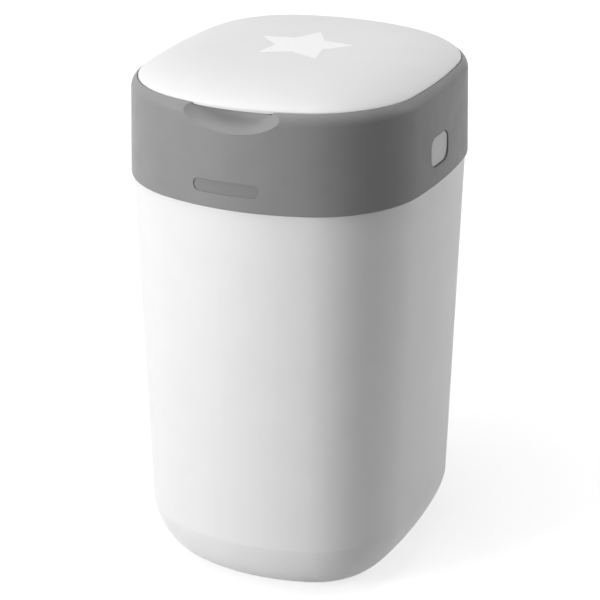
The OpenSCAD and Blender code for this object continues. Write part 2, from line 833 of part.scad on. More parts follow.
module cutter_slider() {
    head_w = rail_w - 2 * rail_wall - 2 * run_gap;
    neck_w = slot_w - 2 * run_gap;
    x = slider_x - slider_l / 2;
    color("orangered") difference() {
        union() {
            translate([x, rail_y - head_w / 2, track_z + run_gap])
                cube([slider_l, head_w, track_h - 2 * run_gap]);
            translate([x, rail_y - neck_w / 2, knob_z + 1])
                cube([slider_l, neck_w, track_z + run_gap - knob_z]);
            translate([x, rail_y - rail_w / 2 + 2, knob_z]) cube([slider_l, rail_w - 4, knob_h]);
        }
        translate([slider_x - blade_l / 2 - joint_gap, rail_y + rail_w / 2 - 5, blade_z - joint_gap / 2])
            cube([blade_l + 2 * joint_gap, 10, blade_t + joint_gap]);
    }
}

module cutter_blade() {
    color("silver") translate([slider_x, rail_y + rail_w / 2 - 4.8, blade_z])
        linear_extrude(blade_t) polygon([
            [-blade_l / 2, 0], [blade_l / 2, 0], [blade_l / 2, 2.8], [0, 2.8 + blade_reach], [-blade_l / 2, 2.8]
        ]);
}

// ---------------------------------------------------------------- Release buttons

// Lays a flat shape across the side wall, between two distances from the middle
module across_side(x0, x1) {
    translate([x0, -button_y, button_mid_z]) rotate([90, 0, 90]) linear_extrude(x1 - x0) children();
}

module release_button(s) {
    color("lightgray") mirror_to(s) {
        intersection() {
            across_side(flange_x - flange_t, half_w) rounded_rect(button_w, button_h, button_r);
            translate([side_cx, 0, collar_z])
                cylinder(r = side_r - (half_w - face_x) - button_sink, h = collar_h, $fn = 720);
        }
        across_side(flange_x - flange_t, flange_x)
            rounded_rect(button_w + 2 * flange_over, button_h + 2 * flange_over, button_r + 2);
    }
}

module latch(s) {
    hook_z = catch_z - run_gap;
    color("white") mirror_to(s) {
        translate([arm_x - arm_t, -button_y - arm_w / 2, hook_z - hook_h])
            cube([arm_t, arm_w, button_mid_z + 9 - hook_z + hook_h]);
        translate([arm_x - arm_t, -button_y - arm_w / 2, button_mid_z - 9])
            cube([latch_x - arm_x + arm_t, arm_w, 18]);
        translate([stem_end_x, -button_y - stem_w / 2, button_mid_z - stem_h / 2])
            cube([arm_x - stem_end_x - 1, stem_w, stem_h]);
        translate([stem_end_x - spigot_l, -button_y, button_mid_z]) rotate([0, 90, 0])
            cylinder(r = 2.2, h = spigot_l + 1);
        translate([0, arm_w / 2 - button_y, 0]) rotate([90, 0, 0]) linear_extrude(arm_w) polygon([
            [arm_x - 1, hook_z], [catch_x + hook_grip, hook_z],
            [catch_x + hook_grip, hook_z - 1.2], [arm_x - 1, hook_z - hook_h]
        ]);
    }
}

module latch_guide(s) {
    bore_w = stem_w + 2 * run_gap;
    bore_h = stem_h + 2 * run_gap;
    out_w = bore_w + 2 * guide_wall;
    out_h = bore_h + 2 * guide_wall;
    l = guide_end_x - guide_x;
    top_z = deck_under_z - joint_gap;
    color("gainsboro") mirror_to(s) difference() {
        union() {
            translate([guide_x, -button_y - out_w / 2, button_mid_z - out_h / 2]) cube([l, out_w, out_h]);
            for (m = [0, 1])
                translate([guide_x, -button_y - out_w / 2 + m * (out_w - guide_wall), button_mid_z])
                    cube([l, guide_wall, top_z - button_mid_z]);
            translate([guide_x, -button_y - out_w / 2, top_z - guide_wall]) cube([l, out_w, guide_wall]);
        }
        translate([guide_x + guide_wall, -button_y - bore_w / 2, button_mid_z - bore_h / 2])
            cube([l, bore_w, bore_h]);
    }
}

// A coil of round wire, swept along its own helix
module coil(r, wire, turns, length) {
    sides = 6;
    steps = turns * 14;
    rings = [for (i = [0:steps]) let (a = 360 * turns * i / steps, z = wire + (length - 2 * wire) * i / steps)
        for (j = [0:sides - 1]) let (b = 360 * j / sides)
            [(r + wire * cos(b)) * cos(a), (r + wire * cos(b)) * sin(a), z + wire * sin(b)]];
    walls = [for (i = [0:steps - 1], j = [0:sides - 1]) let (k = (j + 1) % sides)
        each [[i * sides + j, i * sides + k, (i + 1) * sides + k],
            [i * sides + j, (i + 1) * sides + k, (i + 1) * sides + j]]];
    caps = [[for (j = [sides - 1:-1:0]) j], [for (j = [0:sides - 1]) steps * sides + j]];
    polyhedron(rings, concat([for (w = walls) [w[0], w[2], w[1]]], [for (c = caps) reversed(c)]));
}

module latch_spring(s) {
    x0 = guide_x + guide_wall + joint_gap / 2;
    color("silver") mirror_to(s) translate([x0, -button_y, button_mid_z]) rotate([0, 90, 0])
        coil(spring_r, wire_r, spring_turns, stem_end_x - x0 - joint_gap / 2);
}

// ---------------------------------------------------------------- Pieces

tub();
foot(-1, -1);  // foot_front_left
foot(1, -1);  // foot_front_right
foot(-1, 1);  // foot_rear_left
foot(1, 1);  // foot_rear_right
collar();
deck();
deck_screw(0);  // deck_screw_1
deck_screw(1);  // deck_screw_2
deck_screw(2);  // deck_screw_3
deck_screw(3);  // deck_screw_4
lid_shell();
lid_liner();
lid_seal();
star_inlay();
hinge_pin();
twist_cup();
cassette_body();
cassette_cap();
film_pack();
click_pawl();
pawl_pin();
chute();
chute_screw(0);  // chute_screw_1
chute_screw(1);  // chute_screw_2
chute_screw(2);  // chute_screw_3
chute_screw(3);  // chute_screw_4
finger_ring();
cutter_rail();
cutter_slider();
cutter_blade();
release_button(-1);  // button_left
release_button(1);  // button_right
latch(-1);  // latch_left
latch(1);  // latch_right
latch_guide(-1);  // latch_guide_left
latch_guide(1);  // latch_guide_right
latch_spring(-1);  // latch_spring_left
latch_spring(1);  // latch_spring_right
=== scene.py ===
"""Looks of the nappy bin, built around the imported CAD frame. Lengths in the shape code are millimetres."""

import math
import random

import bmesh
import bpy
from mathutils import Matrix, Vector


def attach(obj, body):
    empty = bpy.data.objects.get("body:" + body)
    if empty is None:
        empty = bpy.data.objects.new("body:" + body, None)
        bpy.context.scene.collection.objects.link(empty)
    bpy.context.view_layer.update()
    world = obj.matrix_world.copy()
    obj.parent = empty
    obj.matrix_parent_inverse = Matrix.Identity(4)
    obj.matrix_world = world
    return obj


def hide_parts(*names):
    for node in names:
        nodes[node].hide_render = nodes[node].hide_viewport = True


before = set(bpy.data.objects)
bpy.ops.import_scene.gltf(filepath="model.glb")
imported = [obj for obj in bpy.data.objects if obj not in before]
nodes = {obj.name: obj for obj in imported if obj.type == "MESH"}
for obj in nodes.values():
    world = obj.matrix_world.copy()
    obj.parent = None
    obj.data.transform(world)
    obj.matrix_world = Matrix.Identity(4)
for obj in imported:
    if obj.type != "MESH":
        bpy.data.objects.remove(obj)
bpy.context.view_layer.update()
scene = bpy.context.scene
MM = 0.001

# ---------------------------------------------------------------- Outline, as in the CAD

HALF_W, HALF_D = 125.0, 140.0
FRONT_R, SIDE_R, CORNER_R = 185.0, 484.0, 92.0
FRONT_CY, SIDE_CX = HALF_D - FRONT_R, HALF_W - SIDE_R
FRONT_STEPS, SIDE_STEPS, CORNER_STEPS = 22, 22, 40


def corner_centre():
    """The point that lies at the right distance from both the back arc's and the side arc's centres."""
    reach_f, reach_s = FRONT_R - CORNER_R, SIDE_R - CORNER_R
    span = math.hypot(SIDE_CX, FRONT_CY)
    along = (reach_f**2 - reach_s**2 + span**2) / (2 * span)
    across = math.sqrt(reach_f**2 - along**2)
    x = (along * SIDE_CX - across * FRONT_CY) / span
    return x, FRONT_CY - (along * FRONT_CY + across * SIDE_CX) / span


def outline_arcs():
    """(centre x, centre y, radius, angle) once round the outline, anticlockwise from the right."""
    cx, cy = CORNER_X, CORNER_Y
    back = math.atan2(cx, cy - FRONT_CY)
    side = math.atan2(cy, cx - SIDE_CX)
    quarter = math.pi / 2
    arcs = []
    spans = [
        (SIDE_CX, 0, SIDE_R, -side, side, SIDE_STEPS),
        (cx, cy, CORNER_R, side, quarter - back, CORNER_STEPS),
        (0, FRONT_CY, FRONT_R, quarter - back, quarter + back, FRONT_STEPS),
        (-cx, cy, CORNER_R, quarter + back, 2 * quarter - side, CORNER_STEPS),
        (-SIDE_CX, 0, SIDE_R, 2 * quarter - side, 2 * quarter + side, SIDE_STEPS),
        (-cx, -cy, CORNER_R, 2 * quarter + side, 3 * quarter - back, CORNER_STEPS),
        (0, -FRONT_CY, FRONT_R, 3 * quarter - back, 3 * quarter + back, FRONT_STEPS),
        (cx, -cy, CORNER_R, 3 * quarter + back, 4 * quarter - side, CORNER_STEPS),
    ]
    for x, y, r, a0, a1, n in spans:
        arcs += [(x, y, r, a0 + (a1 - a0) * i / n) for i in range(n)]
    return arcs


CORNER_X, CORNER_Y = corner_centre()
ARCS = outline_arcs()


def ring(inset, z):
    """The outline moved inwards, at a height."""
    return [(x + (r - inset) * math.cos(a), y + (r - inset) * math.sin(a), z) for x, y, r, a in ARCS]


STRAIGHT = math.radians(88)  # a corner wider than twice this is left as it is


def rounded(points, closed=True, steps=4):
    """A flat path whose corners (u, v, radius) become arcs; a corner without a radius stays sharp."""
    out = []
    n = len(points)
    for i, p in enumerate(points):
        r = p[2] if len(p) > 2 else 0
        if not r or (not closed and i in (0, n - 1)):
            out.append((p[0], p[1]))
            continue
        a, b, c = (Vector(points[(i + k) % n][:2]) for k in (-1, 0, 1))
        to_a, to_c = (a - b), (c - b)
        reach_a, reach_c = to_a.length, to_c.length
        to_a.normalize()
        to_c.normalize()
        half = to_a.angle(to_c) / 2
        if half > STRAIGHT:
            out.append((p[0], p[1]))
            continue
        back = min(r / math.tan(half), 0.49 * reach_a, 0.49 * reach_c)
        r = back * math.tan(half)
        mid = b + (to_a + to_c).normalized() * (r / math.sin(half))
        p0, p1 = b + to_a * back, b + to_c * back
        a0 = math.atan2(*(p0 - mid).yx)
        turn = math.remainder(math.atan2(*(p1 - mid).yx) - a0, math.tau)
        out += [
            (mid.x + r * math.cos(a0 + turn * k / steps), mid.y + r * math.sin(a0 + turn * k / steps))
            for k in range(steps + 1)
        ]
    return out


def new_object(name, verts, faces):
    """A mesh object from points in millimetres."""
    mesh = bpy.data.meshes.new(name)
    mesh.from_pydata([Vector(v) * MM for v in verts], [], faces)
    obj = bpy.data.objects.new(name, mesh)
    scene.collection.objects.link(obj)
    return obj


MERGE = 0.000004  # points closer than this are one, in metres


def clean(obj):
    """Merges doubles and turns the faces outwards."""
    bm = bmesh.new()
    bm.from_mesh(obj.data)
    bmesh.ops.remove_doubles(bm, verts=bm.verts, dist=MERGE)
    bmesh.ops.dissolve_degenerate(bm, edges=bm.edges, dist=MERGE)
    bmesh.ops.recalc_face_normals(bm, faces=bm.faces)
    bm.to_mesh(obj.data)
    bm.free()
    return obj


def finish_mesh(obj, sharp=35):
    """Cleans the mesh and shades it smooth between sharp edges."""
    clean(obj)
    for poly in obj.data.polygons:
        poly.use_smooth = True
    obj.data.set_sharp_from_angle(angle=math.radians(sharp))
    return obj


def skin(name, rings, closed=False, cap_start=False, cap_end=False):
    """A quad skin over rings of equal length, with an optional fan at either end."""
    n = len(rings[0])
    verts = [v for r in rings for v in r]
    faces = []
    count = len(rings)
    for i in range(count if closed else count - 1):
        j = (i + 1) % count
        faces += [(i * n + k, i * n + (k + 1) % n, j * n + (k + 1) % n, j * n + k) for k in range(n)]
    for wanted, i in ((cap_start, 0), (cap_end, count - 1)):
        if wanted:
            verts.append(tuple(sum(v[axis] for v in rings[i]) / n for axis in range(3)))
            faces += [(i * n + k, i * n + (k + 1) % n, len(verts) - 1) for k in range(n)]
    return finish_mesh(new_object(name, verts, faces))


def swept(name, profile, **how):
    """The wall profile [(inset, z)] taken round the outline."""
    return skin(name, [ring(*p) for p in profile], **how)


def turned(name, profile, centre=(0, 0, 0), sides=128, closed=True, **how):
    """The profile [(radius, z)] turned about an upright axis."""
    x, y, z = centre
    rings = [
        [
            (x + p[0] * math.cos(math.tau * k / sides), y + p[0] * math.sin(math.tau * k / sides), z + p[1])
            for k in range(sides)
        ]
        for p in profile
    ]
    return skin(name, rings, closed=closed, **how)


def plug(name, r, z0, z1, centre=(0, 0, 0), sides=32):
    """A plain upright cylinder, for bores and pockets."""
    return turned(name, [(r, z0), (r, z1)], centre, sides=sides, closed=False, cap_start=True, cap_end=True)


def prism(name, points, z0, z1):
    """An upright prism over a flat outline [(x, y)]."""
    n = len(points)
    verts = [(x, y, z0) for x, y in points] + [(x, y, z1) for x, y in points]
    faces = [tuple(reversed(range(n))), tuple(range(n, 2 * n))]
    faces += [(k, (k + 1) % n, n + (k + 1) % n, n + k) for k in range(n)]
    return finish_mesh(new_object(name, verts, faces))


def rounded_rect(w, h, r, steps=8):
    """A flat rectangle about the origin with rounded corners."""
    corners = [(-w / 2, -h / 2, r), (w / 2, -h / 2, r), (w / 2, h / 2, r), (-w / 2, h / 2, r)]
    return rounded(corners, steps=steps)


def block(name, lo, hi):
    """A box between two opposite corners."""
    x0, y0, z0 = lo
    x1, y1, z1 = hi
    return prism(name, [(x0, y0), (x1, y0), (x1, y1), (x0, y1)], z0, z1)


def turn_mesh(obj, matrix, shift=(0, 0, 0)):
    """Turns a mesh about the origin and then moves it by a shift in millimetres."""
    obj.data.transform(Matrix.Translation(Vector(shift) * MM) @ matrix)
    return obj


def apply_modifiers(obj):
    """Makes the modifiers' result the object's own mesh."""
    view = bpy.context.evaluated_depsgraph_get()
    mesh = bpy.data.meshes.new_from_object(obj.evaluated_get(view))
    obj.modifiers.clear()
    obj.data = mesh
    return obj


def combine(obj, tool, operation):
    """Joins, cuts or intersects an object with a tool, and uses the tool up."""
    mod = obj.modifiers.new("cut", "BOOLEAN")
    mod.object = tool
    mod.operation = operation
    mod.solver = "EXACT"
    apply_modifiers(obj)
    bpy.data.objects.remove(tool)
    return clean(obj)


def cut(obj, tool):
    return combine(obj, tool, "DIFFERENCE")


def add(obj, tool):
    return combine(obj, tool, "UNION")


def soften(obj, width, angle=32, segments=3):
    """Rounds the sharp edges, as on a moulded piece."""
    mod = obj.modifiers.new("soften", "BEVEL")
    mod.width = width * MM
    mod.segments = segments
    mod.limit_method = "ANGLE"
    mod.angle_limit = math.radians(angle)
    mod.harden_normals = False
    mod.use_clamp_overlap = True
    apply_modifiers(obj)
    return finish_mesh(obj)


def densified(profile, step=14.0, closed=False):
    """Adds points to long straight stretches, so that shading stays tight at the corners."""
    support = 0.8
    out = []
    n = len(profile)
    for i in range(n if closed else n - 1):
        a, b = Vector(profile[i]), Vector(profile[(i + 1) % n])
        length = (b - a).length
        out.append(tuple(a))
        if length > 3 * support:
            count = max(1, round((length - 2 * support) / step))
            for k in range(count + 1):
                t = (support + (length - 2 * support) * k / count) / length
                out.append(tuple(a.lerp(b, t)))
    return out if closed else out + [tuple(profile[-1])]


def circle_ring(r, z):
    """A circle with as many points as the outline, each in the direction of its own point of the outline."""
    angles = [math.atan2(y, x) for x, y, _ in ring(30, 0)]
    return [(r * math.cos(a), r * math.sin(a), z) for a in angles]


def joined(name, *objs):
    """One object made of several that only touch or overlap out of sight."""
    bm = bmesh.new()
    for o in objs:
        bm.from_mesh(o.data)
        bpy.data.objects.remove(o)
    mesh = bpy.data.meshes.new(name)
    bm.to_mesh(mesh)
    bm.free()
    obj = bpy.data.objects.new(name, mesh)
    scene.collection.objects.link(obj)
    return finish_mesh(obj)


def along_x(obj, x, y, z):
    """Lays a shape that was built upright along X, with its foot at the given point."""
    return turn_mesh(obj, Matrix.Rotation(math.pi / 2, 4, "Y"), (x, y, z))


def rod(name, r, length, edge=0.3, sides=48):
    """An upright round bar on the origin, with rounded edges."""
    half = [(0, 0), (r, 0, edge), (r, length, edge), (0, length)]
    path = rounded(half, closed=False, steps=3)
    return turned(name, path[1:-1], sides=sides, closed=False, cap_start=True, cap_end=True)


# ---------------------------------------------------------------- Sizes that the pieces share, as in the CAD

JOINT_GAP, RUN_GAP = 0.2, 0.4
TUB_TOP, FOOT_OUT, TUB_WALL = 340.5, 1.5, 2.6
COLLAR_Z, RIM_Z, LIP_Z, LIP_UNDER = 340.7, 420.3, 418.0, 415.4
LID_INSET, LID_LOW, LID_EDGE, LID_RISE, LID_WALL = 7.6, 418.5, 420.6, 15.4, 2.4
CROWN_INSET, CROWN_Z = 84.0, 436.0
STAR_R, STAR_NOTCH_R, STAR_TURN, STAR_T = 42, 22, 20, 0.8
RIM_INSET, LIP_INSET, LEAN, WALL = 6.8, 17.0, 1.7, 2.6
DECK_Z, DECK_UNDER, WELL_Z, LEDGE_Z = 404.0, 401.4, 338.0, 341.6
WELL_R, WELL_OUT_R, LEDGE_IN_R, WELL_SCREW_AT, SCREW_BORE_R = 90.2, 92.6, 60.0, 77.1, 1.7
CHUTE_R, CHUTE_OUT_R, CHUTE_H, CHUTE_Z = 54.0, 56.2, 24.0, 337.8
HINGE_Y, HINGE_Z, KNUCKLE_R, PIN_R = 130.8, 414.5, 3.5, 1.6
POCKET_Z, POCKET_Y, HINGE_W = 407.0, 126.8, 80.0
LID_KNUCKLE_X, LID_KNUCKLE_W = 24, 16
BUTTON_Y, BUTTON_Z, BUTTON_W, BUTTON_H, BUTTON_R, BUTTON_GAP = -12.0, 368.2, 34.0, 23.5, 8.0, 0.8
THROAT_R, CUP_R, CUP_Z, CUP_RIM_Z, CUP_RIM_R = 58.0, 88.0, 342.0, 404.4, 96.2
BAND_Z, BAND_HALF_H, NOTCHES, GRIPS = 369.0, 6.2, 24, 6


def base_curve(t):
    """The tub's base below the crease: a large arc and then a small one, moved in by t."""
    n = 14
    crease, knee = math.radians(10), math.radians(50)
    crease_at, sole_at = (10.6, 47.0), (47.0, FOOT_OUT)
    drop, inward = crease_at[1] - sole_at[1], sole_at[0] - crease_at[0]
    big = (math.cos(crease) - math.cos(knee), math.sin(knee) - math.sin(crease))
    small = (math.cos(knee), 1 - math.sin(knee))
    det = big[1] * small[0] - small[1] * big[0]
    big_r = (drop * small[0] - small[1] * inward) / det
    small_r = (big[1] * inward - drop * big[0]) / det
    big_c = (crease_at[0] + big_r * math.cos(crease), crease_at[1] + big_r * math.sin(crease))
    small_c = (sole_at[0], FOOT_OUT + small_r)
    path = []
    for i in range(n + 1):
        a = crease + (knee - crease) * i / n
        path.append((big_c[0] - (big_r - t) * math.cos(a), big_c[1] - (big_r - t) * math.sin(a)))
    for i in range(1, n + 1):
        a = knee + (math.pi / 2 - knee) * i / n
        path.append((small_c[0] - (small_r - t) * math.cos(a), small_c[1] - (small_r - t) * math.sin(a)))
    return path


def dome(inset):
    """The height of the lid's top at an inset from the outline: steep at the edge and flat at the crown."""
    crown_power, edge_power = 2.6, 0.75
    t = min(1.0, (inset - LID_INSET) / (CROWN_INSET - LID_INSET))
    return LID_EDGE + LID_RISE * (1 - (1 - t) ** crown_power) ** edge_power


def under_dome(inset):
    """The height up to which a piece inside the lid may reach."""
    gap = 0.4
    return dome(inset) - LID_WALL - gap


# ---------------------------------------------------------------- Tub and feet

FOOT_X, FOOT_Y, FOOT_R, FOOT_T = 56.0, 63.0, 10.0, 3.0
TUB_TOP_INSET, NECK_INSET, NECK_TOP = 2.0, 3.3, 351.5
CATCH_IN, CATCH_OUT, CATCH_LOW, CATCH_TOP, CATCH_HALF_L = 115.7, 120.1, 338.2, 341.2, 12.0


def make_tub():
    """The tub, with its neck, its two catches and the pockets for the pads."""
    outer = base_curve(0)
    inner = base_curve(TUB_WALL)
    neck_in = NECK_INSET + TUB_WALL
    wall = [outer[1], (*outer[0], 3), (TUB_TOP_INSET, TUB_TOP, 0.5), (NECK_INSET, TUB_TOP, 0.2),
            (NECK_INSET, NECK_TOP, 0.7), (neck_in, NECK_TOP, 0.7), (neck_in, TUB_TOP - 4, 2),
            (TUB_TOP_INSET + TUB_WALL, TUB_TOP - 8, 2), (*inner[0], 5), inner[1]]
    path = [(CROWN_INSET, FOOT_OUT)] + outer[::-1][:-1]
    path += densified(rounded(wall, closed=False))[1:-1]
    path += inner[1:] + [(CROWN_INSET, FOOT_OUT + TUB_WALL)]
    tub = swept("tub_body", path, cap_start=True, cap_end=True)
    for sx in (-1, 1):
        for sy in (-1, 1):
            cut(tub, plug("pocket", FOOT_R + JOINT_GAP, -2, FOOT_T, (sx * FOOT_X, sy * FOOT_Y, 0), 64))
        bar = block("bar", (CATCH_IN, -BUTTON_Y - CATCH_HALF_L, CATCH_LOW),
                    (CATCH_OUT, -BUTTON_Y + CATCH_HALF_L, CATCH_TOP))
        turn_mesh(bar, Matrix.Scale(sx, 4, (1, 0, 0)), (0, 2 * BUTTON_Y, 0))
        add(tub, finish_mesh(bar))
    return finish_mesh(tub)


def make_foot(name, x, y):
    """A rubber pad with a shallow dish in its underside."""
    dish_r, dish_h = 4.5, 0.5
    profile = rounded([(2.5, dish_h, 0.2), (dish_r, dish_h, 0.2), (dish_r + 0.7, 0, 0.3), (FOOT_R, 0, 0.7),
                       (FOOT_R, FOOT_T, 0.2)], closed=False, steps=3)
    return turned(name, profile, (x, y, 0), sides=64, closed=False, cap_start=True, cap_end=True)


# ---------------------------------------------------------------- Collar

EGG_L, EGG_D, EGG_OUT, EGG_UP = 114.0, 42.2, 7.0, 3.0
PLATE_X, PLATE_Z, PLATE_W, PLATE_H, PLATE_R, PLATE_FLOOR = -3.0, 358.0, 56.0, 10.6, 5.29, 1.17
COLLAR_KNUCKLES = ((0, 31.2), (-36.7, 8.6), (36.7, 8.6))


def collar_profile():
    """The collar's wall in section: up outside, over the rounded shoulder and back inside the lip."""
    shoulder_r, n = 11.0, 10
    end = math.acos(1 - (RIM_INSET - LEAN) / shoulder_r)
    base_z = RIM_Z - shoulder_r * math.sin(end)
    turns = [end * i / n for i in range(n + 1)]
    shoulder = [(LEAN + shoulder_r * (1 - math.cos(a)), base_z + shoulder_r * math.sin(a)) for a in turns]
    path = [(0.8, COLLAR_Z, 0.3), (0, COLLAR_Z + 0.8, 0.5)] + shoulder[:-1] + [(*shoulder[-1], 0.5)]
    path += [(7.0, LIP_Z, 0.3), (LIP_INSET, LIP_Z, 0.6), (LIP_INSET, LIP_UNDER, 0.6),
             (LEAN + WALL + 3.4, LIP_UNDER, 2.5), (LEAN + WALL, LIP_UNDER - 5, 3), (WALL, COLLAR_Z, 0.4)]
    return densified(rounded(path, steps=3), closed=True)


def egg(t):
    """The egg form that cuts the finger scoop: it lies across the front, grown by t."""
    steps = [math.pi * (i + 0.5) / 72 for i in range(72)]
    profile = [((EGG_D / 2 + t) * math.sin(a), -(EGG_L / 2 + t) * math.cos(a)) for a in steps]
    body = turned("egg", profile, sides=144, closed=False, cap_start=True, cap_end=True)
    return along_x(body, 0, -HALF_D - EGG_OUT, LIP_Z + EGG_UP)


def knuckle(x, w, web_to):
    """A hinge knuckle with its web, down to the trough or up to the lid."""
    tube = along_x(rod("knuckle", KNUCKLE_R, w, 0.3, 64), x - w / 2, HINGE_Y, HINGE_Z)
    back = HINGE_Y + (3 if web_to < HINGE_Z else 1)
    low, high = min(web_to, HINGE_Z), max(web_to, HINGE_Z)
    return add(tube, block("web", (x - w / 2, HINGE_Y - 3, low), (x + w / 2, back, high)))


def pin_bore(x0, x1):
    """The bore for the hinge pin, a little wider than the pin."""
    return along_x(plug("bore", PIN_R + 0.05, 0, x1 - x0, sides=48), x0, HINGE_Y, HINGE_Z)


def window(name, grow, x0, x1, side):
    """The release button's outline, grown and taken through the side wall from x0 to x1."""
    shape = prism(name, rounded_rect(BUTTON_W + 2 * grow, BUTTON_H + 2 * grow, BUTTON_R + grow), x0, x1)
    upright = Matrix(((0, 0, side, 0), (1, 0, 0, 0), (0, 1, 0, 0), (0, 0, 0, 1)))
    return finish_mesh(turn_mesh(shape, upright, (0, BUTTON_Y, BUTTON_Z)))


def wall_band(inset0, inset1, z0, z1):
    """A band of wall between two insets and two heights, all round."""
    return swept("band", [(inset0, z0), (inset0, z1), (inset1, z1), (inset1, z0)], closed=True)


def name_plate():
    """The recess for a bare name plate, with a floor that follows the bowed front."""
    plate = prism("plate", rounded_rect(PLATE_W, PLATE_H, PLATE_R, 10), -12, 12)
    turn_mesh(plate, Matrix.Rotation(math.pi / 2, 4, "X"), (PLATE_X, -HALF_D, PLATE_Z))
    floor = plug("floor", FRONT_R - PLATE_FLOOR, PLATE_Z - 13, PLATE_Z + 13, (0, -FRONT_CY, 0), 720)
    return cut(finish_mesh(plate), floor)


def make_collar():
    """The collar with its scoop, hinge pocket, bare name plate, button windows and knuckles."""
    scoop_low, trough_low, trough_half_w, trough_front = 388, 404.6, 42.4, 123.3
    drop_half_w, drop_front, above = 82, 70, CROWN_Z + 1
    collar = swept("collar_body", collar_profile(), closed=True)
    behind = wall_band(LEAN + 1.8, LIP_INSET - 0.5, scoop_low, LIP_UNDER + 0.5)
    add(collar, combine(egg(WALL), behind, "INTERSECT"))
    trough = block("trough", (-trough_half_w, trough_front, trough_low),
                   (trough_half_w, HALF_D + 2, LIP_Z - 1.3))
    within = wall_band(LEAN + 1, LIP_INSET - 0.3, trough_low - 4.6, LIP_Z - 1)
    add(collar, combine(trough, within, "INTERSECT"))
    cut(collar, egg(0))
    cut(collar, block("pocket", (-HINGE_W / 2, POCKET_Y, POCKET_Z), (HINGE_W / 2, HALF_D + 4, above)))
    cut(collar, block("drop", (-drop_half_w, drop_front, LIP_Z + 0.2), (drop_half_w, HALF_D + 70, above)))
    cut(collar, name_plate())
    for side in (-1, 1):
        cut(collar, window("window", BUTTON_GAP, HALF_W - 8, HALF_W + 8, side))
    soften(collar, 0.4, angle=20)
    for x, w in COLLAR_KNUCKLES:
        add(collar, knuckle(x, w, POCKET_Z - 1))
    cut(collar, pin_bore(-HINGE_W / 2 - 2, HINGE_W / 2 + 2))
    return finish_mesh(collar)


# ---------------------------------------------------------------- Lid

def star_outline(grow):
    """A plain five-pointed star whose tips and notches are slightly rounded."""
    points = []
    for i in range(10):
        r, soft = (STAR_R, 0.9) if i % 2 == 0 else (STAR_NOTCH_R, 1.2)
        a = math.radians(STAR_TURN + 36 * i)
        points.append(((r + grow) * math.cos(a), (r + grow) * math.sin(a), soft))
    return rounded(points, steps=5)


def make_lid():
    """The domed shell; its rings lie closer together towards the edge, where it curves most."""
    n, crowding = 46, 1.7
    steps = [(i / n) ** crowding for i in range(n + 1)]
    inset_at = [LID_INSET + (CROWN_INSET - LID_INSET) * t for t in steps]
    outer = [(LID_INSET + 0.5, LID_LOW), (LID_INSET + 0.15, LID_LOW + 0.15), (LID_INSET, LID_LOW + 0.5),
             (LID_INSET, LID_LOW + 1.3)]
    outer += [(d, dome(d)) for d in inset_at]
    inner = [(LID_INSET + LID_WALL, LID_LOW)]
    inner += [(d, dome(d) - LID_WALL) for d in inset_at if d > LID_INSET + LID_WALL]
    lid = swept("lid_skin", outer[::-1] + inner, cap_start=True, cap_end=True)
    cut(lid, prism("pocket", star_outline(0.15), CROWN_Z - STAR_T, CROWN_Z + 4))
    reach = LID_KNUCKLE_W / 2 + 1
    for x in (-LID_KNUCKLE_X, LID_KNUCKLE_X):
        add(lid, cut(knuckle(x, LID_KNUCKLE_W, LID_EDGE), pin_bore(x - reach, x + reach)))
    return finish_mesh(lid)


def make_star():
    """The inlay: flush, with a fine eased edge."""
    star = prism("star_face", star_outline(0), CROWN_Z - STAR_T, CROWN_Z)
    return soften(star, 0.12, angle=50, segments=2)


def make_liner():
    """The panel inside the lid: a shallow tray whose rim reaches up to the dome."""
    low, high, out, wall_in = 414.4, 416.8, LIP_INSET + 2, 21.4
    path = rounded([(CROWN_INSET, low), (40, low), (38, low + 0.7), (out, low + 0.7, 1.2),
                    (out, under_dome(out), 0.5), (wall_in, under_dome(wall_in), 0.5), (wall_in, high, 1.5),
                    (CROWN_INSET, high)], closed=False)
    return swept("lid_lining", densified(path), cap_start=True, cap_end=True)


def make_seal():
    """The rubber ring between the lid and the collar's lip."""
    low, a, b = LIP_Z + 0.2, 13.5, 16.5
    path = rounded([(a, low + 0.8, 0.3), (a + 0.9, low, 0.5), (b - 0.9, low, 0.5), (b, low + 0.8, 0.3),
                    (b, under_dome(b), 0.3), (a, under_dome(a), 0.3)], steps=3)
    return swept("lid_gasket", path, closed=True)


# ---------------------------------------------------------------- Deck

def boss_points():
    """Where the four deck screws stand, on the corners' diagonals."""
    r = (CORNER_R - 12) * math.sqrt(0.5)
    x, y = CORNER_X + r, CORNER_Y + r
    return [(-x, -y), (x, -y), (x, y), (-x, y)]


def well_screw_points():
    """Where the four screws through the well's ledge stand."""
    angles = [math.radians(45 + 90 * k) for k in range(4)]
    return [(WELL_SCREW_AT * math.cos(a), WELL_SCREW_AT * math.sin(a)) for a in angles]


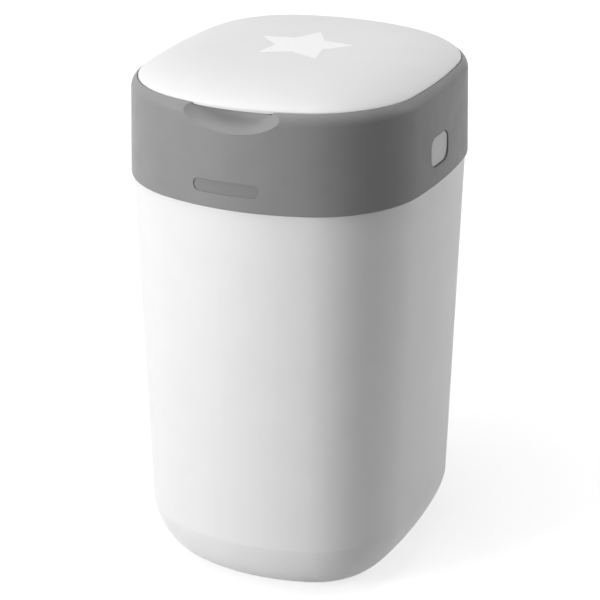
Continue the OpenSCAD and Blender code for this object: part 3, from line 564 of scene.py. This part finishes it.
def make_deck():
    """The plate under the lid and its well, with the pawl's window and lugs."""
    inset, edge, snug_r = LEAN + WALL + 0.6, 0.5, 1.55
    window_half_w, window_near, window_far, window_half_h = 12, 85.2, 94.2, BAND_HALF_H - 0.6
    lug_t, pawl_x, pawl_y = 3, 11, 98.5
    outside = [ring(inset + edge, DECK_UNDER), ring(inset, DECK_UNDER + edge), ring(inset, DECK_Z - edge),
               ring(inset + edge, DECK_Z), ring(inset + 1.2, DECK_Z), ring(12, DECK_Z)]
    well = rounded([(WELL_R + 2, DECK_Z), (WELL_R, DECK_Z, 1), (WELL_R, LEDGE_Z, 1.2),
                    (LEDGE_IN_R, LEDGE_Z, 0.6), (LEDGE_IN_R, WELL_Z, 0.6), (WELL_OUT_R, WELL_Z, 0.6),
                    (WELL_OUT_R, DECK_UNDER, 1.5), (96, DECK_UNDER)], closed=False)
    rings = outside + [circle_ring(*p) for p in densified(well, step=20)] + [ring(16, DECK_UNDER)]
    deck = skin("deck_plate", rings, closed=True)
    for x, y in boss_points():
        cut(deck, plug("bore", SCREW_BORE_R, DECK_UNDER - 1.4, DECK_Z + 2, (x, y, 0)))
    cut(deck, block("window", (-window_half_w, window_near, BAND_Z - window_half_h),
                    (window_half_w, window_far, BAND_Z + window_half_h)))
    for low in (BAND_Z + 5.0, BAND_Z - 5.0 - lug_t):
        lug = soften(block("lug", (pawl_x - 4, 91, low), (pawl_x + 4, 101.9, low + lug_t)), 0.5)
        add(deck, cut(lug, plug("bore", snug_r, low - 1, low + lug_t + 1, (pawl_x, pawl_y, 0))))
    cut(deck, egg(WALL + RUN_GAP))
    for x, y in well_screw_points():
        cut(deck, plug("bore", snug_r, WELL_Z - 1, LEDGE_Z + 1, (x, y, 0)))
    return finish_mesh(deck)


def make_screw(name, x, y, head_z, length):
    """A pan-head screw seen from below, with a cross recess and a pointed thread."""
    head_h, core_r, crest_r, pitch = 2.0, 1.2, 1.5, 0.7
    start = head_h + 0.2
    profile = [(0.6, 0.9), (0.9, 0.35), (2.2, 0.0), (2.7, 0.25), (3.0, 0.9), (3.0, 1.9), (2.8, head_h),
               (core_r, head_h)]
    turns = int((length - 2.5) / pitch)
    for k in range(turns):
        z = start + pitch * k
        profile += [(core_r, z), (crest_r, z + 0.25), (crest_r, z + 0.35)]
    profile += [(core_r, start + pitch * turns), (0.2, head_h + length)]
    screw = turned(name, profile, (x, y, head_z), sides=32, closed=False, cap_start=True, cap_end=True)
    for turn in (0, math.pi / 2):
        recess = block("recess", (-1.6, -0.35, -0.5), (1.6, 0.35, 0.9))
        cut(screw, turn_mesh(recess, Matrix.Rotation(turn, 4, "Z"), (x, y, head_z)))
    return screw


# ---------------------------------------------------------------- Twist cup and cassette

CUP_WALL, NOTCH_DEPTH, GRIP_H = 2.4, 1.6, 3.2
CASSETTE_Z, CASSETTE_TOP, CASSETTE_IN, CASSETTE_R, CASSETTE_WALL = 344.6, 391.6, 60.8, 85.2, 1.4


def turned_copies(make, count, first=0.0):
    """Equal copies of a piece, spaced evenly about the upright axis."""
    return [turn_mesh(make(), Matrix.Rotation(first + math.tau * k / count, 4, "Z")) for k in range(count)]


def make_cup():
    """The drum that turns in the well, with a notched band for the pawl and grips on its rim."""
    z0, z1, top, sleeve_z = CUP_Z, CUP_Z + CUP_WALL, CUP_RIM_Z + CUP_WALL, CUP_Z + 10
    band_r, band_low, band_top = CUP_R + NOTCH_DEPTH, BAND_Z - BAND_HALF_H, BAND_Z + BAND_HALF_H
    bowl_r, sleeve_r = CUP_R - CUP_WALL, THROAT_R + CUP_WALL
    profile = rounded([(THROAT_R, z0, 0.5), (CUP_R, z0, 1), (CUP_R, band_low, 0.3), (band_r, band_low, 0.3),
                       (band_r, band_top, 0.3), (CUP_R, band_top, 0.3), (CUP_R, CUP_RIM_Z, 0.6),
                       (CUP_RIM_R, CUP_RIM_Z, 0.7), (CUP_RIM_R, top, 1.1), (bowl_r, top, 1.1),
                       (bowl_r, z1, 2), (sleeve_r, z1, 1), (sleeve_r, sleeve_z, 0.9),
                       (THROAT_R, sleeve_z, 0.9)])
    cup = turned("twist_drum", densified(profile, step=16, closed=True), sides=192)
    mouth, root = 2.9, 1.5
    outline = [(CUP_R + 3, -mouth), (CUP_R + 3, mouth), (CUP_R, root), (CUP_R, -root)]
    teeth = turned_copies(lambda: prism("tooth", outline, BAND_Z - 7, BAND_Z + 7), NOTCHES, math.pi / 2)
    cut(cup, joined("teeth", *teeth))
    low, high = (CUP_R - 0.9, -3, top - 0.6), (CUP_RIM_R - 1.2, 3, top + GRIP_H)
    for grip in turned_copies(lambda: soften(block("grip", low, high), 1.3, segments=4), GRIPS):
        add(cup, grip)
    return finish_mesh(cup)


def make_cassette():
    """The refill's tray: a ring-shaped trough."""
    a, b, z0, z1, w = CASSETTE_IN, CASSETTE_R, CASSETTE_Z, CASSETTE_TOP, CASSETTE_WALL
    profile = rounded([(a, z0, 0.5), (b, z0, 1), (b, z1, 0.5), (b - w, z1, 0.5), (b - w, z0 + w, 0.8),
                       (a + w, z0 + w, 0.8), (a + w, z1 - 3, 0.6), (a, z1 - 3, 0.6)])
    return turned("cassette_tray", densified(profile, step=16, closed=True), sides=160)


def make_cassette_cap():
    """The refill's cover, with a skirt that fits inside the tray and a shallow sunk ring on top."""
    a, b, z, top = CASSETTE_IN + 3, CASSETTE_R, CASSETTE_TOP + JOINT_GAP, CASSETTE_TOP + JOINT_GAP + 2
    out_r, sunk = CASSETTE_R - CASSETTE_WALL - JOINT_GAP, top - 0.6
    in_r, skirt_z = out_r - 1.2, z - 4
    profile = rounded([(a, z, 0.4), (in_r, z, 0.3), (in_r, skirt_z, 0.3), (out_r, skirt_z, 0.3),
                       (out_r, z, 0.2), (b, z, 0.4), (b, top, 0.8), (b - 4, top, 0.5), (b - 4.6, sunk, 0.5),
                       (a + 4.6, sunk, 0.5), (a + 4, top, 0.5), (a, top, 0.8)])
    return turned("cassette_cover", densified(profile, step=12, closed=True), sides=160)


def make_film():
    """The film, gathered into fine uneven pleats between the tray's walls."""
    rng = random.Random(11)
    sides, a, b, z0, z1 = 720, 63.8, 82.0, 346.2, 387.2
    wobble = [rng.uniform(0.2, 1.0) for _ in range(sides)]
    fold_in, fold_down = 0.9, 1.4
    profile = [(a, 0.0), (b, 0.0), (b, 0.25), (b, 0.5), (b, 0.75), (b, 0.96)]
    profile += [(b - (b - a) * k / 6, 1.0) for k in range(1, 6)] + [(a, 0.96), (a, 0.75), (a, 0.5), (a, 0.25)]
    rings = []
    for r, t in profile:
        inward = {a: 1, b: -1}.get(r, 0)
        loop = []
        for k in range(sides):
            fold = (0.5 + 0.5 * math.cos(k * math.pi)) * wobble[k]
            radius = r + inward * fold_in * fold
            z = z0 + (z1 - z0) * t - (fold_down * fold if t == 1.0 else 0)
            angle = math.tau * k / sides
            loop.append((radius * math.cos(angle), radius * math.sin(angle), z))
        rings.append(loop)
    return skin("film_folds", rings, closed=True)


# ---------------------------------------------------------------- Chute and finger ring

SLEEVE_H, FINGER_GAP_R, FINGER_DROP, FINGER_T, FINGER_COUNT, SLIT_HALF_W = 8.0, 20.0, 8.0, 2.2, 12, 1.0


def make_chute():
    """The funnel under the well: a flange, a cone and a short straight end."""
    wall = CHUTE_OUT_R - CHUTE_R
    flange_z, cone_z, end_z = CHUTE_Z - 2.4, CHUTE_Z - CHUTE_H + SLEEVE_H, CHUTE_Z - CHUTE_H
    profile = rounded([(LEDGE_IN_R, CHUTE_Z, 0.4), (CHUTE_R, cone_z, 2), (CHUTE_R, end_z, 0.6),
                       (CHUTE_OUT_R, end_z, 0.6), (CHUTE_OUT_R, cone_z, 2), (LEDGE_IN_R + wall, flange_z, 1),
                       (WELL_R, flange_z, 0.5), (WELL_R, CHUTE_Z, 0.5)])
    chute = turned("throat_funnel", densified(profile, step=14, closed=True), sides=160)
    for x, y in well_screw_points():
        cut(chute, plug("bore", SCREW_BORE_R, CHUTE_Z - 4, CHUTE_Z + 2, (x, y, 0)))
    return finish_mesh(chute)


def make_fingers():
    """The rubber ring on the funnel's end, slit into fingers that slope down to the middle."""
    top = CHUTE_Z - CHUTE_H - JOINT_GAP
    in_r = CHUTE_OUT_R + JOINT_GAP
    out_r, gap_r, tip_z, under = in_r + FINGER_T, FINGER_GAP_R, top - FINGER_DROP, top - FINGER_T
    profile = rounded([(in_r, top + SLEEVE_H, 0.4), (in_r, top, 0.3), (CHUTE_R, top, 1), (gap_r, tip_z, 0.8),
                       (gap_r, tip_z - FINGER_T, 0.8), (CHUTE_R, under, 1), (out_r, under, 0.9),
                       (out_r, top + SLEEVE_H, 0.5)])
    fingers = turned("rubber_fingers", densified(profile, step=9, closed=True), sides=192)
    low, high = (gap_r - 2, -SLIT_HALF_W, top - 2 * FINGER_DROP), (CHUTE_R - 4, SLIT_HALF_W, top + SLEEVE_H)
    slits = turned_copies(lambda: block("slit", low, high), FINGER_COUNT)
    return finish_mesh(cut(fingers, joined("slits", *slits)))


# ---------------------------------------------------------------- Buttons and springs

FLANGE_X, FLANGE_T, FLANGE_OVER, FACE_SINK = 119.52, 2.0, 2.5, 1.68


def make_button(side):
    """The release button: a pad with eased edges that follows the side wall, on its flange."""
    pad = window("pad", 0, FLANGE_X - 0.5, HALF_W, side)
    wall = plug("wall", SIDE_R - FACE_SINK, 340, 395, (side * SIDE_CX, 0, 0), 1440)
    soften(combine(pad, wall, "INTERSECT"), 0.9, angle=50, segments=4)
    flange = window("flange", FLANGE_OVER, FLANGE_X - FLANGE_T, FLANGE_X, side)
    soften(flange, 0.3, angle=50, segments=2)
    return finish_mesh(add(pad, flange))


def make_spring(name, side):
    """A plain coil of wire along X."""
    x0, x1, r, wire, turns, sides = 96.7, 105.6, 3.4, 0.45, 5, 12
    verts = []
    steps = turns * 32
    for i in range(steps + 1):
        a = math.tau * turns * i / steps
        x = x0 + wire + (x1 - x0 - 2 * wire) * i / steps
        for j in range(sides):
            b = math.tau * j / sides
            reach = r + wire * math.cos(b)
            y, z = BUTTON_Y + reach * math.cos(a), BUTTON_Z + reach * math.sin(a)
            verts.append((side * (x + wire * math.sin(b)), y, z))
    faces = [(i + j, i + (j + 1) % sides, i + sides + (j + 1) % sides, i + sides + j)
             for i in range(0, steps * sides, sides) for j in range(sides)]
    faces += [tuple(range(sides)), tuple(range(steps * sides, len(verts)))]
    return finish_mesh(new_object(name, verts, faces), 60)


def dressed(name, node, width, segments=3):
    """A rigid CAD piece whose shape is right, with its edges eased."""
    obj = bpy.data.objects.new(name, nodes[node].data.copy())
    scene.collection.objects.link(obj)
    finish_mesh(obj)
    bm = bmesh.new()
    bm.from_mesh(obj.data)
    bmesh.ops.dissolve_limit(bm, angle_limit=math.radians(0.4), verts=bm.verts, edges=bm.edges)
    bm.to_mesh(obj.data)
    bm.free()
    obj.data.materials.clear()
    return soften(obj, width, segments=segments)


# ---------------------------------------------------------------- Materials

GLOSS_SPREAD = 0.05


def plastic(name, colour, rough, mottle=0.02, grain=900, depth=0.00002, blotch=60,
            metallic=0.0, specular=0.5, scuff=None, subsurface=0.0, panel=None):
    """Moulded material: faint colour mottle, uneven gloss and a fine moulded grain. Lengths are metres.

    grain and blotch are the scales of the fine and the coarse noise, and depth is the grain's height.
    scuff is (low z, high z, tint) for a band of rubbed, dustier surface.
    panel is (centre x and z, half width, half height, corner radius, shade) for a matt patch on the front.
    """
    mat = bpy.data.materials.new(name)
    mat.use_nodes = True
    tree = mat.node_tree
    new, link = tree.nodes.new, tree.links.new
    bsdf = tree.nodes["Principled BSDF"]
    bsdf.inputs["Metallic"].default_value = metallic
    bsdf.inputs["Specular IOR Level"].default_value = specular
    if subsurface:
        bsdf.inputs["Subsurface Weight"].default_value = subsurface
        bsdf.inputs["Subsurface Radius"].default_value = (0.004, 0.004, 0.004)
    place = new("ShaderNodeTexCoord").outputs["Object"]

    def noise(scale, detail, offset=0.0):
        node = new("ShaderNodeTexNoise")
        node.inputs["Scale"].default_value = scale
        node.inputs["Detail"].default_value = detail
        if offset:
            shift = new("ShaderNodeMapping")
            shift.inputs["Location"].default_value = (offset, offset, offset)
            link(place, shift.inputs["Vector"])
            link(shift.outputs["Vector"], node.inputs["Vector"])
        else:
            link(place, node.inputs["Vector"])
        return node.outputs["Fac"]

    def ramp(value, low, high, out_low, out_high):
        node = new("ShaderNodeMapRange")
        for key, v in (("From Min", low), ("From Max", high), ("To Min", out_low), ("To Max", out_high)):
            node.inputs[key].default_value = v
        link(value, node.inputs["Value"])
        return node.outputs["Result"]

    def mixed(fac, a, b):
        node = new("ShaderNodeMix")
        node.data_type = "RGBA"
        link(fac, node.inputs["Factor"])
        for socket, v in (("A", a), ("B", b)):
            if isinstance(v, tuple):
                node.inputs[socket].default_value = v + (1,)
            else:
                link(v, node.inputs[socket])
        return node.outputs["Result"]

    def shaded(factor):
        return tuple(min(1, c * factor) for c in colour)

    def sums(a, b, operation="ADD"):
        node = new("ShaderNodeMath")
        node.operation = operation
        link(a, node.inputs[0])
        link(b, node.inputs[1])
        return node.outputs[0]

    def vectors(operation, a, b=None):
        node = new("ShaderNodeVectorMath")
        node.operation = operation
        link(a, node.inputs[0])
        if b is not None:
            node.inputs[1].default_value = b
        return node.outputs["Value" if operation == "LENGTH" else "Vector"]

    patches = noise(blotch, 4)
    tint = mixed(ramp(patches, 0.35, 0.65, 0, 1), shaded(1 - mottle), shaded(1 + mottle))
    speckle = ramp(noise(grain * 0.7, 1, 3.1), 0.55, 0.8, 0, 0.3)
    tint = mixed(speckle, tint, shaded(1 - 2.5 * mottle))
    gloss = ramp(noise(blotch * 1.7, 3, 1.7), 0.3, 0.7, rough - GLOSS_SPREAD, rough + GLOSS_SPREAD)
    if scuff:
        low, high, rubbed = scuff
        split = new("ShaderNodeSeparateXYZ")
        link(place, split.inputs["Vector"])
        band = ramp(split.outputs["Z"], low, high, 1, 0)
        worn = sums(band, ramp(noise(blotch * 3, 8, 5.3), 0.45, 0.75, 0, 0.7), "MULTIPLY")
        tint = mixed(worn, tint, rubbed)
        gloss = sums(gloss, ramp(worn, 0, 1, 0, 0.15))
    if panel:
        px, pz, half_wide, half_high, corner, shade = panel
        flat = vectors("MULTIPLY", vectors("SUBTRACT", place, (px, 0, pz)), (1, 0, 1))
        over = vectors("SUBTRACT", vectors("ABSOLUTE", flat), (half_wide - corner, 0, half_high - corner))
        beyond = vectors("LENGTH", vectors("MAXIMUM", over, (0, 0, 0)))
        front = new("ShaderNodeSeparateXYZ")
        link(place, front.inputs["Vector"])
        inside = sums(ramp(beyond, corner - 0.0002, corner + 0.0002, 1, 0),
                      ramp(front.outputs["Y"], -0.001, 0.001, 1, 0), "MULTIPLY")
        tint = mixed(inside, tint, shaded(shade))
        gloss = sums(gloss, ramp(inside, 0, 1, 0, 0.15))
    link(tint, bsdf.inputs["Base Color"])
    link(gloss, bsdf.inputs["Roughness"])
    bump = new("ShaderNodeBump")
    bump.inputs["Strength"].default_value = 1.0
    bump.inputs["Distance"].default_value = depth
    link(sums(noise(grain, 2), ramp(noise(blotch * 0.5, 2, 7.7), 0, 1, 0, 1.5)), bump.inputs["Height"])
    link(bump.outputs["Normal"], bsdf.inputs["Normal"])
    return mat


PLATE_PATCH = (-0.00305, 0.35815, 0.02745, 0.00535, 0.0052, 0.9)
MATERIALS = {
    "tub_white": plastic("tub_white", (0.86, 0.86, 0.86), 0.42, 0.008, 1100, 0.00002, 35,
                         scuff=(0.004, 0.03, (0.76, 0.75, 0.73))),
    "rubber_grey": plastic("rubber_grey", (0.22, 0.22, 0.22), 0.75, 0.08, 1500, 0.00004, 120),
    "collar_grey": plastic("collar_grey", (0.28, 0.28, 0.282), 0.42, 0.02, 1800, 0.00003, 45, specular=0.15,
                           panel=PLATE_PATCH),
    "deck_grey": plastic("deck_grey", (0.6, 0.6, 0.6), 0.5, 0.02, 1600, 0.00003, 50),
    "steel": plastic("steel", (0.6, 0.6, 0.6), 0.3, 0.05, 2500, 0.00001, 300, metallic=1.0),
    "lid_white": plastic("lid_white", (0.785, 0.785, 0.785), 0.5, 0.006, 1800, 0.000025, 40),
    "liner_white": plastic("liner_white", (0.74, 0.74, 0.74), 0.45, 0.012, 1400, 0.00003, 50),
    "rubber_dark": plastic("rubber_dark", (0.05, 0.05, 0.052), 0.6, 0.1, 1500, 0.00004, 140),
    "star_white": plastic("star_white", (0.94, 0.94, 0.94), 0.45, 0.004, 1800, 0.000003, 60),
    "cup_white": plastic("cup_white", (0.8, 0.8, 0.79), 0.35, 0.01, 1200, 0.00002, 40),
    "cassette_blue": plastic("cassette_blue", (0.26, 0.46, 0.62), 0.4, 0.03, 1200, 0.00002, 60),
    "cassette_cap_blue": plastic("cassette_cap_blue", (0.42, 0.62, 0.76), 0.4, 0.03, 1200, 0.00002, 60),
    "film": plastic("film", (0.72, 0.8, 0.86), 0.25, 0.05, 700, 0.00008, 200, subsurface=0.2),
    "pawl_white": plastic("pawl_white", (0.76, 0.76, 0.72), 0.42, 0.02, 1500, 0.00002, 80),
    "cutter_orange": plastic("cutter_orange", (0.78, 0.27, 0.07), 0.4, 0.03, 1500, 0.00003, 80),
    "button_grey": plastic("button_grey", (0.62, 0.62, 0.62), 0.45, 0.02, 1800, 0.00003, 60),
}


def dress(obj, body, slot, *replaced):
    """Gives a piece its material, named by slot, and its body, and hides the CAD nodes that it stands for."""
    even = obj.modifiers.new("even", "WEIGHTED_NORMAL")
    even.keep_sharp = True
    even.weight = 80
    apply_modifiers(obj)
    obj.data.materials.clear()
    obj.data.materials.append(MATERIALS[slot])
    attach(obj, body)
    if replaced:
        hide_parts(*replaced)
    return obj


# ---------------------------------------------------------------- Pieces on their bodies

LID, ROTOR = "lid", "twist_cup_and_cassette"
dress(make_tub(), "base", "tub_white", "tub")
for row, fy in (("front", -1), ("rear", 1)):
    for end, fx in (("left", -1), ("right", 1)):
        pad = make_foot(f"pad_{row}_{end}", fx * FOOT_X, fy * FOOT_Y)
        dress(pad, "base", "rubber_grey", f"foot_{row}_{end}")
dress(make_collar(), "base", "collar_grey", "collar")
dress(make_deck(), "base", "deck_grey", "deck")
for k, (sx, sy) in enumerate(boss_points(), 1):
    dress(make_screw(f"deck_fixing_{k}", sx, sy, DECK_UNDER - 2.1, 9.8), "base", "steel", f"deck_screw_{k}")
for k, (sx, sy) in enumerate(well_screw_points(), 1):
    dress(make_screw(f"chute_fixing_{k}", sx, sy, WELL_Z - 4.6, 7.4), "base", "steel", f"chute_screw_{k}")
dress(make_chute(), "base", "deck_grey", "chute")
dress(make_fingers(), "base", "rubber_dark", "finger_ring")
dress(along_x(rod("hinge_rod", PIN_R, HINGE_W - 1, 0.4), -(HINGE_W - 1) / 2, HINGE_Y, HINGE_Z),
      "base", "steel", "hinge_pin")
dress(dressed("cutter_track", "cutter_rail", 0.5), "base", "deck_grey", "cutter_rail")
dress(dressed("pawl_axle", "pawl_pin", 0.3), "base", "steel", "pawl_pin")

dress(make_lid(), LID, "lid_white", "lid_shell")
dress(make_star(), LID, "star_white", "star_inlay")
dress(make_liner(), LID, "liner_white", "lid_liner")
dress(make_seal(), LID, "rubber_dark", "lid_seal")

dress(make_cup(), ROTOR, "cup_white", "twist_cup")
dress(make_cassette(), ROTOR, "cassette_blue", "cassette_body")
dress(make_cassette_cap(), ROTOR, "cassette_cap_blue", "cassette_cap")
dress(make_film(), ROTOR, "film", "film_pack")

dress(dressed("pawl_arm", "click_pawl", 0.4), "click_pawl_body", "pawl_white", "click_pawl")
dress(dressed("cutter_grip", "cutter_slider", 0.6), "cutter", "cutter_orange", "cutter_slider")
dress(dressed("cutter_edge", "cutter_blade", 0.12, segments=1), "cutter", "steel", "cutter_blade")
for end, sign in (("left", -1), ("right", 1)):
    button = dress(make_button(sign), f"{end}_release", "button_grey", f"button_{end}")
    button.name = f"push_pad_{end}"
    latch, guide = f"latch_{end}", f"latch_guide_{end}"
    dress(dressed(f"hook_{end}", latch, 0.4), f"{end}_release", "pawl_white", latch)
    dress(dressed(f"guide_{end}", guide, 0.4), "base", "deck_grey", guide)
    dress(make_spring(f"coil_{end}", sign), "base", "steel", f"latch_spring_{end}")

# ---------------------------------------------------------------- Floor, light and camera


def seen_directly(tree):
    """A value of 1 for rays from the camera and from glossy or clear surfaces, else 0."""
    path = tree.nodes.new("ShaderNodeLightPath")
    value = path.outputs["Is Camera Ray"]
    for kind in ("Is Glossy Ray", "Is Transmission Ray"):
        either = tree.nodes.new("ShaderNodeMath")
        either.operation = "MAXIMUM"
        tree.links.new(value, either.inputs[0])
        tree.links.new(path.outputs[kind], either.inputs[1])
        value = either.outputs[0]
    return value


FLOOR_HALF, FLOOR_GLOW = 9000, 0.72


def stage_material():
    """A pale floor that shows as white to the camera but keeps the bin's soft shadow."""
    mat = bpy.data.materials.new("studio_floor")
    mat.use_nodes = True
    tree = mat.node_tree
    new, link = tree.nodes.new, tree.links.new
    bsdf = tree.nodes["Principled BSDF"]
    bsdf.inputs["Base Color"].default_value = (0.5, 0.5, 0.5, 1)
    bsdf.inputs["Roughness"].default_value = 0.9
    bsdf.inputs["Specular IOR Level"].default_value = 0.1
    glow = new("ShaderNodeEmission")
    glow.inputs["Color"].default_value = (1, 1, 1, 1)
    reach = new("ShaderNodeVectorMath")
    reach.operation = "LENGTH"
    link(new("ShaderNodeTexCoord").outputs["Object"], reach.inputs[0])
    level = new("ShaderNodeMapRange")
    for key, v in (("From Min", 0.4), ("From Max", 1.6), ("To Min", FLOOR_GLOW), ("To Max", 1.0)):
        level.inputs[key].default_value = v
    link(reach.outputs["Value"], level.inputs["Value"])
    link(level.outputs["Result"], glow.inputs["Strength"])
    both = new("ShaderNodeAddShader")
    link(bsdf.outputs[0], both.inputs[0])
    link(glow.outputs[0], both.inputs[1])
    swap = new("ShaderNodeMixShader")
    link(seen_directly(tree), swap.inputs[0])
    link(bsdf.outputs[0], swap.inputs[1])
    link(both.outputs[0], swap.inputs[2])
    link(swap.outputs[0], tree.nodes["Material Output"].inputs["Surface"])
    return mat


corners = [(x * FLOOR_HALF, y * FLOOR_HALF, 0) for x, y in ((-1, -1), (1, -1), (1, 1), (-1, 1))]
floor = new_object("studio_floor", corners, [(0, 1, 2, 3)])
floor.data.materials.append(stage_material())


def area_light(name, azimuth, elevation, distance, width, height, power):
    """A softbox that faces the middle of the bin; azimuth 0 is the front and 90 the right-hand side."""
    a, e = math.radians(azimuth), math.radians(elevation)
    aim = Vector((0, 0, 0.22))
    offset = Vector((math.sin(a) * math.cos(e), -math.cos(a) * math.cos(e), math.sin(e))) * distance
    data = bpy.data.lights.new(name, "AREA")
    data.shape = "RECTANGLE"
    data.size, data.size_y = width, height
    data.energy = power
    lamp = bpy.data.objects.new(name, data)
    lamp.location = aim + offset
    lamp.rotation_euler = (-offset).to_track_quat("-Z", "Y").to_euler()
    scene.collection.objects.link(lamp)
    return lamp


area_light("key_left", -36, 12, 2.1, 0.75, 1.0, 29.5)
area_light("rim_right", 125, 20, 2.0, 0.7, 1.0, 9)
area_light("top_soft", -35, 78, 1.8, 1.2, 1.2, 20.5)


def studio_world():
    """A dim, even room; the camera and glossy surfaces see plain white."""
    world = bpy.data.worlds.new("studio")
    world.use_nodes = True
    tree = world.node_tree
    new, link = tree.nodes.new, tree.links.new
    room = tree.nodes["Background"]
    room.inputs["Color"].default_value = (1, 1, 1, 1)
    room.inputs["Strength"].default_value = 0.1
    seen = new("ShaderNodeBackground")
    seen.inputs["Color"].default_value = (1, 1, 1, 1)
    seen.inputs["Strength"].default_value = 1.0
    pick = new("ShaderNodeMixShader")
    link(seen_directly(tree), pick.inputs[0])
    link(room.outputs[0], pick.inputs[1])
    link(seen.outputs[0], pick.inputs[2])
    link(pick.outputs[0], tree.nodes["World Output"].inputs["Surface"])
    return world


scene.world = studio_world()
scene.view_settings.view_transform = "Standard"

camera_data = bpy.data.cameras.new("camera")
camera_data.sensor_width = 36.0
camera_data.lens = 125.71
camera_data.clip_start = 0.05
camera_data.clip_end = 50.0
camera = bpy.data.objects.new("camera", camera_data)
camera.location = (0.65603, -1.49258, 0.88609)
aim_at = Vector((-0.0021, 0.0005, 0.2140))
camera.rotation_euler = (aim_at - camera.location).to_track_quat("-Z", "Y").to_euler()
scene.collection.objects.link(camera)
scene.camera = camera
